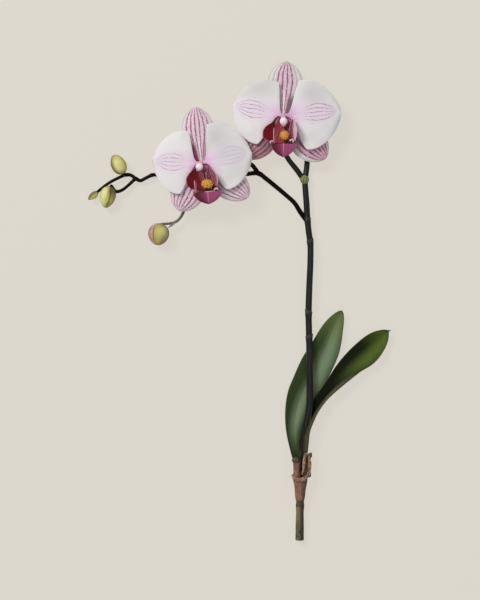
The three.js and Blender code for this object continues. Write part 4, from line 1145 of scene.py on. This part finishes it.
def addThroat(flower, node):
    # a trough: height = 3.4·t² with a slow ripple across, narrower towards its top
    look = flower["throat"]
    halves = lambda s: (look["half"] * (0.95 - 0.35 * ease(s, 0.4, 1)),) * 2
    cup = lambda s, t: 3.4 * t * t + 0.4 * np.sin(6 * t)
    finish = lipFinish(node + "Throat", throatColour(look))
    addPiece(flower["name"] + "_throat", tiltedBlade(flower, look, halves, cup), finish, node, "lip")


def addShield(flower, node):
    # its half width falls as (1 - s^1.45)^0.62; it droops as s² and t²·s, with raised corners and a ridge
    look = flower["shield"]

    def halves(s):
        taper = (1 - np.clip(s, 0, 1) ** 1.45) ** 0.62
        return (look["half"] * (0.86 + 0.14 * ease(s, 0, 0.12)) * taper,) * 2

    def cup(s, t):
        corners = 1.1 * ease(np.abs(t), 0.55, 1) * (1 - s)
        return -1.6 * s * s - 2.2 * t * t * s + corners + 0.5 * bell(t, 0, 0.09)

    shieldPiece = tiltedBlade(flower, look, halves, cup, 72, 80, 0.9)
    addPiece(flower["name"] + "_shield", shieldPiece, lipFinish(node + "Shield", shieldColour), node, "lip")


def addEar(flower, node, side, draw, bend):
    # drawn half widths on both sides, cupped as t² and bowed by a sine along it
    look = flower[side]
    halves = lambda s: (drawn(look["left"], s), drawn(look["right"], s))
    cup = lambda s, t: 1.6 * t * t + bend * np.sin(np.pi * s)
    finish = lipFinish(node + side, draw(look))
    addPiece(flower["name"] + "_" + side, tiltedBlade(flower, look, halves, cup), finish, node, "lip")


def addCurls(flower, node):
    # two short tendrils that taper to their ends
    curls = []
    for route in flower["curls"]:
        path = routeThrough(np.array(route) + np.array(flower["middle"]), 40)
        curls.append(stemGrid(path, drawn([(0, 0.9), (0.4, 0.8), (1, 0.45)], np.linspace(0, 1, 40)), 20))
    paint = Paint(node + "Curl", Roughness=0.4)
    mottle = paint.ease(paint.grain(0.0014), 0.35, 0.65)
    colour = paint.blend(mottle, shade(*lipLook["curl"]), shade(*lipLook["curlRose"]))
    finish = paint.done(colour, None, paint.grain(0.0008), 0.0001)
    addPiece(flower["name"] + "_curls", curls, finish, node, "lip")


def addLip(flower):
    node = flower["name"] + "_lip"
    addThroat(flower, node)
    addShield(flower, node)
    addEar(flower, node, "leftEar", earColour, -1.5)
    addEar(flower, node, "rightEar", rightEarColour, 1.5)
    addCurls(flower, node)
    addCallus(flower, node)


callusLook = {"light": (226, 162, 30), "body": (196, 124, 18), "spot": (132, 52, 14), "bumps": 34,
              "whiskers": 12}


def addCallus(flower, node):
    # a mound with rounded warts set on a spiral, and a crown of short points round its foot
    look = flower["callus"]
    middle = np.array(flower["middle"]) + np.array(look["at"])
    s, a = rise(70, 0.015), ring(120)
    sin, cos = np.sin(np.pi * s), np.cos(np.pi * s)
    direction = np.stack([sin * np.cos(a), sin * np.sin(a), -cos * np.ones_like(a)], -1)
    k = np.arange(callusLook["bumps"])
    height = 1 - 2 * (k + 0.5) / callusLook["bumps"]
    swirl = np.pi * (1 + 5**0.5) * k
    level = np.sqrt(1 - height**2)
    wart = np.stack([level * np.cos(swirl), level * np.sin(swirl), height], -1)
    near = np.clip((direction @ wart.T).max(axis=-1), -1, 1)
    bump = ease(near, 0.95, 0.995)
    grid = middle + direction * (np.array(look["size"]) / 2 * (0.86 + 0.14 * bump)[..., None])
    parts = [(grid, {"bump": bump})]
    for i in range(callusLook["whiskers"]):
        angle = 2 * np.pi * i / callusLook["whiskers"] + 0.3 * math.sin(5 * i)
        out = np.array((math.cos(angle), math.sin(angle), 0.0))
        root = middle + out * np.array(look["size"]) * 0.4 + np.array((0, 0, -0.6))
        path = routeThrough([root, root + out * 0.7 + (0, 0, 0.5), root + out * 1.2 + (0, 0, 1.3)], 12)
        tipGrid, _ = stemGrid(path, np.linspace(0.42, 0.16, 12), 12)
        parts.append((tipGrid, {"bump": 0.8}))
    paint = Paint(node + "Callus", Roughness=0.4, **{"Coat Weight": 0.2, "Coat Roughness": 0.25})
    spot = paint.ease(paint.grain(0.0011, None, 2), 0.56, 0.66)
    colour = paint.blend(paint.reading("bump"), shade(*callusLook["body"]), shade(*callusLook["light"]))
    colour = paint.blend(spot * 0.6, colour, shade(*callusLook["spot"]))
    finish = paint.done(colour, None, paint.grain(0.0007), 0.0001)
    addPiece(flower["name"] + "_callus", parts, finish, node, "lip")


columnLook = {
    "path": [(0, 0, 0.4), (0, -1.5, 3.9), (0, -3.9, 7.2)],
    "radius": [(0, 2.4), (0.3, 2.15), (0.7, 2.5), (1, 2.7)],
    "capPitch": 24, "rose": (196, 104, 140), "pale": (240, 214, 226),
    "cap": (246, 226, 234), "capFoot": (222, 166, 192),
}


def fromAngle(a, middle):
    # how far each angle is from the middle one, between -π and π
    return (a - middle + np.pi) % (2 * np.pi) - np.pi


def addColumn(flower):
    # a hooded stub: round behind, hollowed in front, swelling to its head
    name, heading = flower["name"], 90 + flower["column"]["turn"]
    route = routeThrough(turned(np.array(columnLook["path"]), heading, 0, flower["middle"]), 60)
    hollow = lambda share, a: 1 - 0.16 * bell(fromAngle(a, 3 * np.pi / 2), 0, 0.5) * ease(share, 0.3, 0.8)
    hood = stemGrid(route, drawn(columnLook["radius"], np.linspace(0, 1, 60)), 56, section=hollow)
    paint = Paint(name + "ColumnRose", Roughness=0.42)
    streak = paint.grain(0.0012, paint.place((1, 0.3, 0.3)), 3)
    mixed = paint.ease(streak, 0.35, 0.65)
    colour = paint.blend(mixed, shade(*columnLook["rose"]), shade(*columnLook["pale"]))
    finish = paint.done(colour, None, streak, 0.00012)
    addPiece(name + "_column_hood", hood, finish, name + "_column", "column")


def addCap(flower):
    # an egg with a beak at its foot, parted by a shallow seam along its top
    name, look = flower["name"], flower["column"]
    s, a = rise(60, 0.015), ring(96)
    r = np.sqrt(s * (1 - s)) * (1 + 0.16 * (s - 0.5))
    beak = 0.12 * bell(s, 0.03, 0.12)
    seam = bell(fromAngle(a, np.pi / 2), 0, 0.13) * ease(s, 0.1, 0.4) * (1 - ease(s, 0.8, 1))
    width, length, height = look["capSize"]
    local = eggGrid((width, length, height * (1 - 0.07 * seam)), r, s, a, beak)
    middle = np.array(flower["middle"]) + np.array(look["cap"])
    grid = turned(local, 90 + look["turn"], columnLook["capPitch"], middle)
    paint = Paint(name + "CapPearl", Roughness=0.38, **{"Coat Weight": 0.25, "Coat Roughness": 0.25})
    fromFoot = paint.ease(paint.reading("along"), 0.05, 0.5)
    colour = paint.blend(fromFoot, shade(*columnLook["capFoot"]), shade(*columnLook["cap"]))
    colour = paint.blend(paint.reading("seam") * 0.4, colour, shade(*columnLook["capFoot"]))
    finish = paint.done(colour, None, paint.grain(0.0012), 0.00008)
    addPiece(name + "_cap_pearl", (grid, {"along": s, "seam": seam}), finish, name + "_anther_cap", "column")


addCane()
addSheath()
addSheathRim()
addLeafBases()
print("cane, sheath and old leaf bases done")
addLeftLeaf()
addRightLeaf()
print("leaves done")
skins = {"spike": spike, "branch": sideBranch, "budStalk": budStalk}
finishes = {name: stemFinish(name + "Skin", look) for name, look in skins.items()}
addStem("flower_spike_stem", "flower_spike", spike, finishes["spike"], 700)
addStem("side_branch_stem", "side_branch", sideBranch, finishes["branch"], 520)
for name, look in stalks.items():
    addStem(name + "_stem", name, look, finishes[look["look"]], 160)
for name, look in bracts.items():
    addBract(name, look)
addNodeBud()
addStalkBract()
print("stems and bracts done")
for name, look in buds.items():
    addBud(name, look)
print("buds done")
for flower in (flowerA, flowerB):
    for name, look in flower["tepals"].items():
        addTepal(flower, name, look)
    addLip(flower)
    addColumn(flower)
    addCap(flower)
print("flowers done")


studio = {
    "floorColour": (221, 216, 206), "floorGlow": 0.86, "floorSize": 6.0,
    "world": (236, 236, 240), "worldStrength": 0.5,
    "keyPower": 56, "keySize": 1.0, "keyFrom": (-1.5, 1.5, 2.4),
    "fillPower": 12, "fillSize": 3.0, "fillFrom": (0.6, -0.4, 3.2),
    "cameraOver": (-53.99, 217.56),  # mm from the cane's cut end
    "cameraHeight": 2.27, "lens": 150,
}


def addFloor():
    # pale paper that glows a little itself, so that the shadows on it stay faint
    half = studio["floorSize"] / 2
    mesh = bpy.data.meshes.new("studio_floor")
    corners = [(-half, -half, 0), (half, -half, 0), (half, half, 0), (-half, half, 0)]
    mesh.from_pydata(corners, [], [(0, 1, 2, 3)])
    floor = bpy.data.objects.new("studio_floor", mesh)
    bpy.context.scene.collection.objects.link(floor)
    tone, glow = shade(*studio["floorColour"]), studio["floorGlow"]
    constants = {"Specular IOR Level": 0.0, "Emission Color": tone, "Emission Strength": glow}
    paint = Paint("floorPaper", Roughness=0.9, **constants)
    mesh.materials.append(paint.done(tuple(x * (1 - glow) * 1.1 for x in tone[:3]) + (1,)))


def addLight(name, power, size, start, target):
    # a soft round lamp that faces its target
    lamp = bpy.data.lights.new(name, "AREA")
    lamp.energy, lamp.size, lamp.shape = power, size, "DISK"
    light = bpy.data.objects.new(name, lamp)
    bpy.context.scene.collection.objects.link(light)
    light.location = start
    light.rotation_euler = (Vector(target) - Vector(start)).to_track_quat("-Z", "Y").to_euler()


def addCamera():
    # straight down on the plant, its long side along the frame
    lens = bpy.data.cameras.new("overhead")
    lens.lens, lens.sensor_width, lens.sensor_fit = studio["lens"], 36, "AUTO"
    lens.clip_end = 20
    camera = bpy.data.objects.new("overhead", lens)
    bpy.context.scene.collection.objects.link(camera)
    x, y = (plantOrigin[:2] + studio["cameraOver"]) / 1000
    camera.location = (x, y, studio["cameraHeight"])
    bpy.context.scene.camera = camera


addFloor()
addLight("keyLight", studio["keyPower"], studio["keySize"], studio["keyFrom"], (0, 0.05, 0))
addLight("fillLight", studio["fillPower"], studio["fillSize"], studio["fillFrom"], (0, 0, 0))
world = bpy.data.worlds.new("paleRoom")
world.use_nodes = True
world.node_tree.nodes["Background"].inputs[0].default_value = shade(*studio["world"])
world.node_tree.nodes["Background"].inputs[1].default_value = studio["worldStrength"]
bpy.context.scene.world = world
bpy.context.scene.view_settings.view_transform = "Standard"
addCamera()

print("light, camera and floor done")
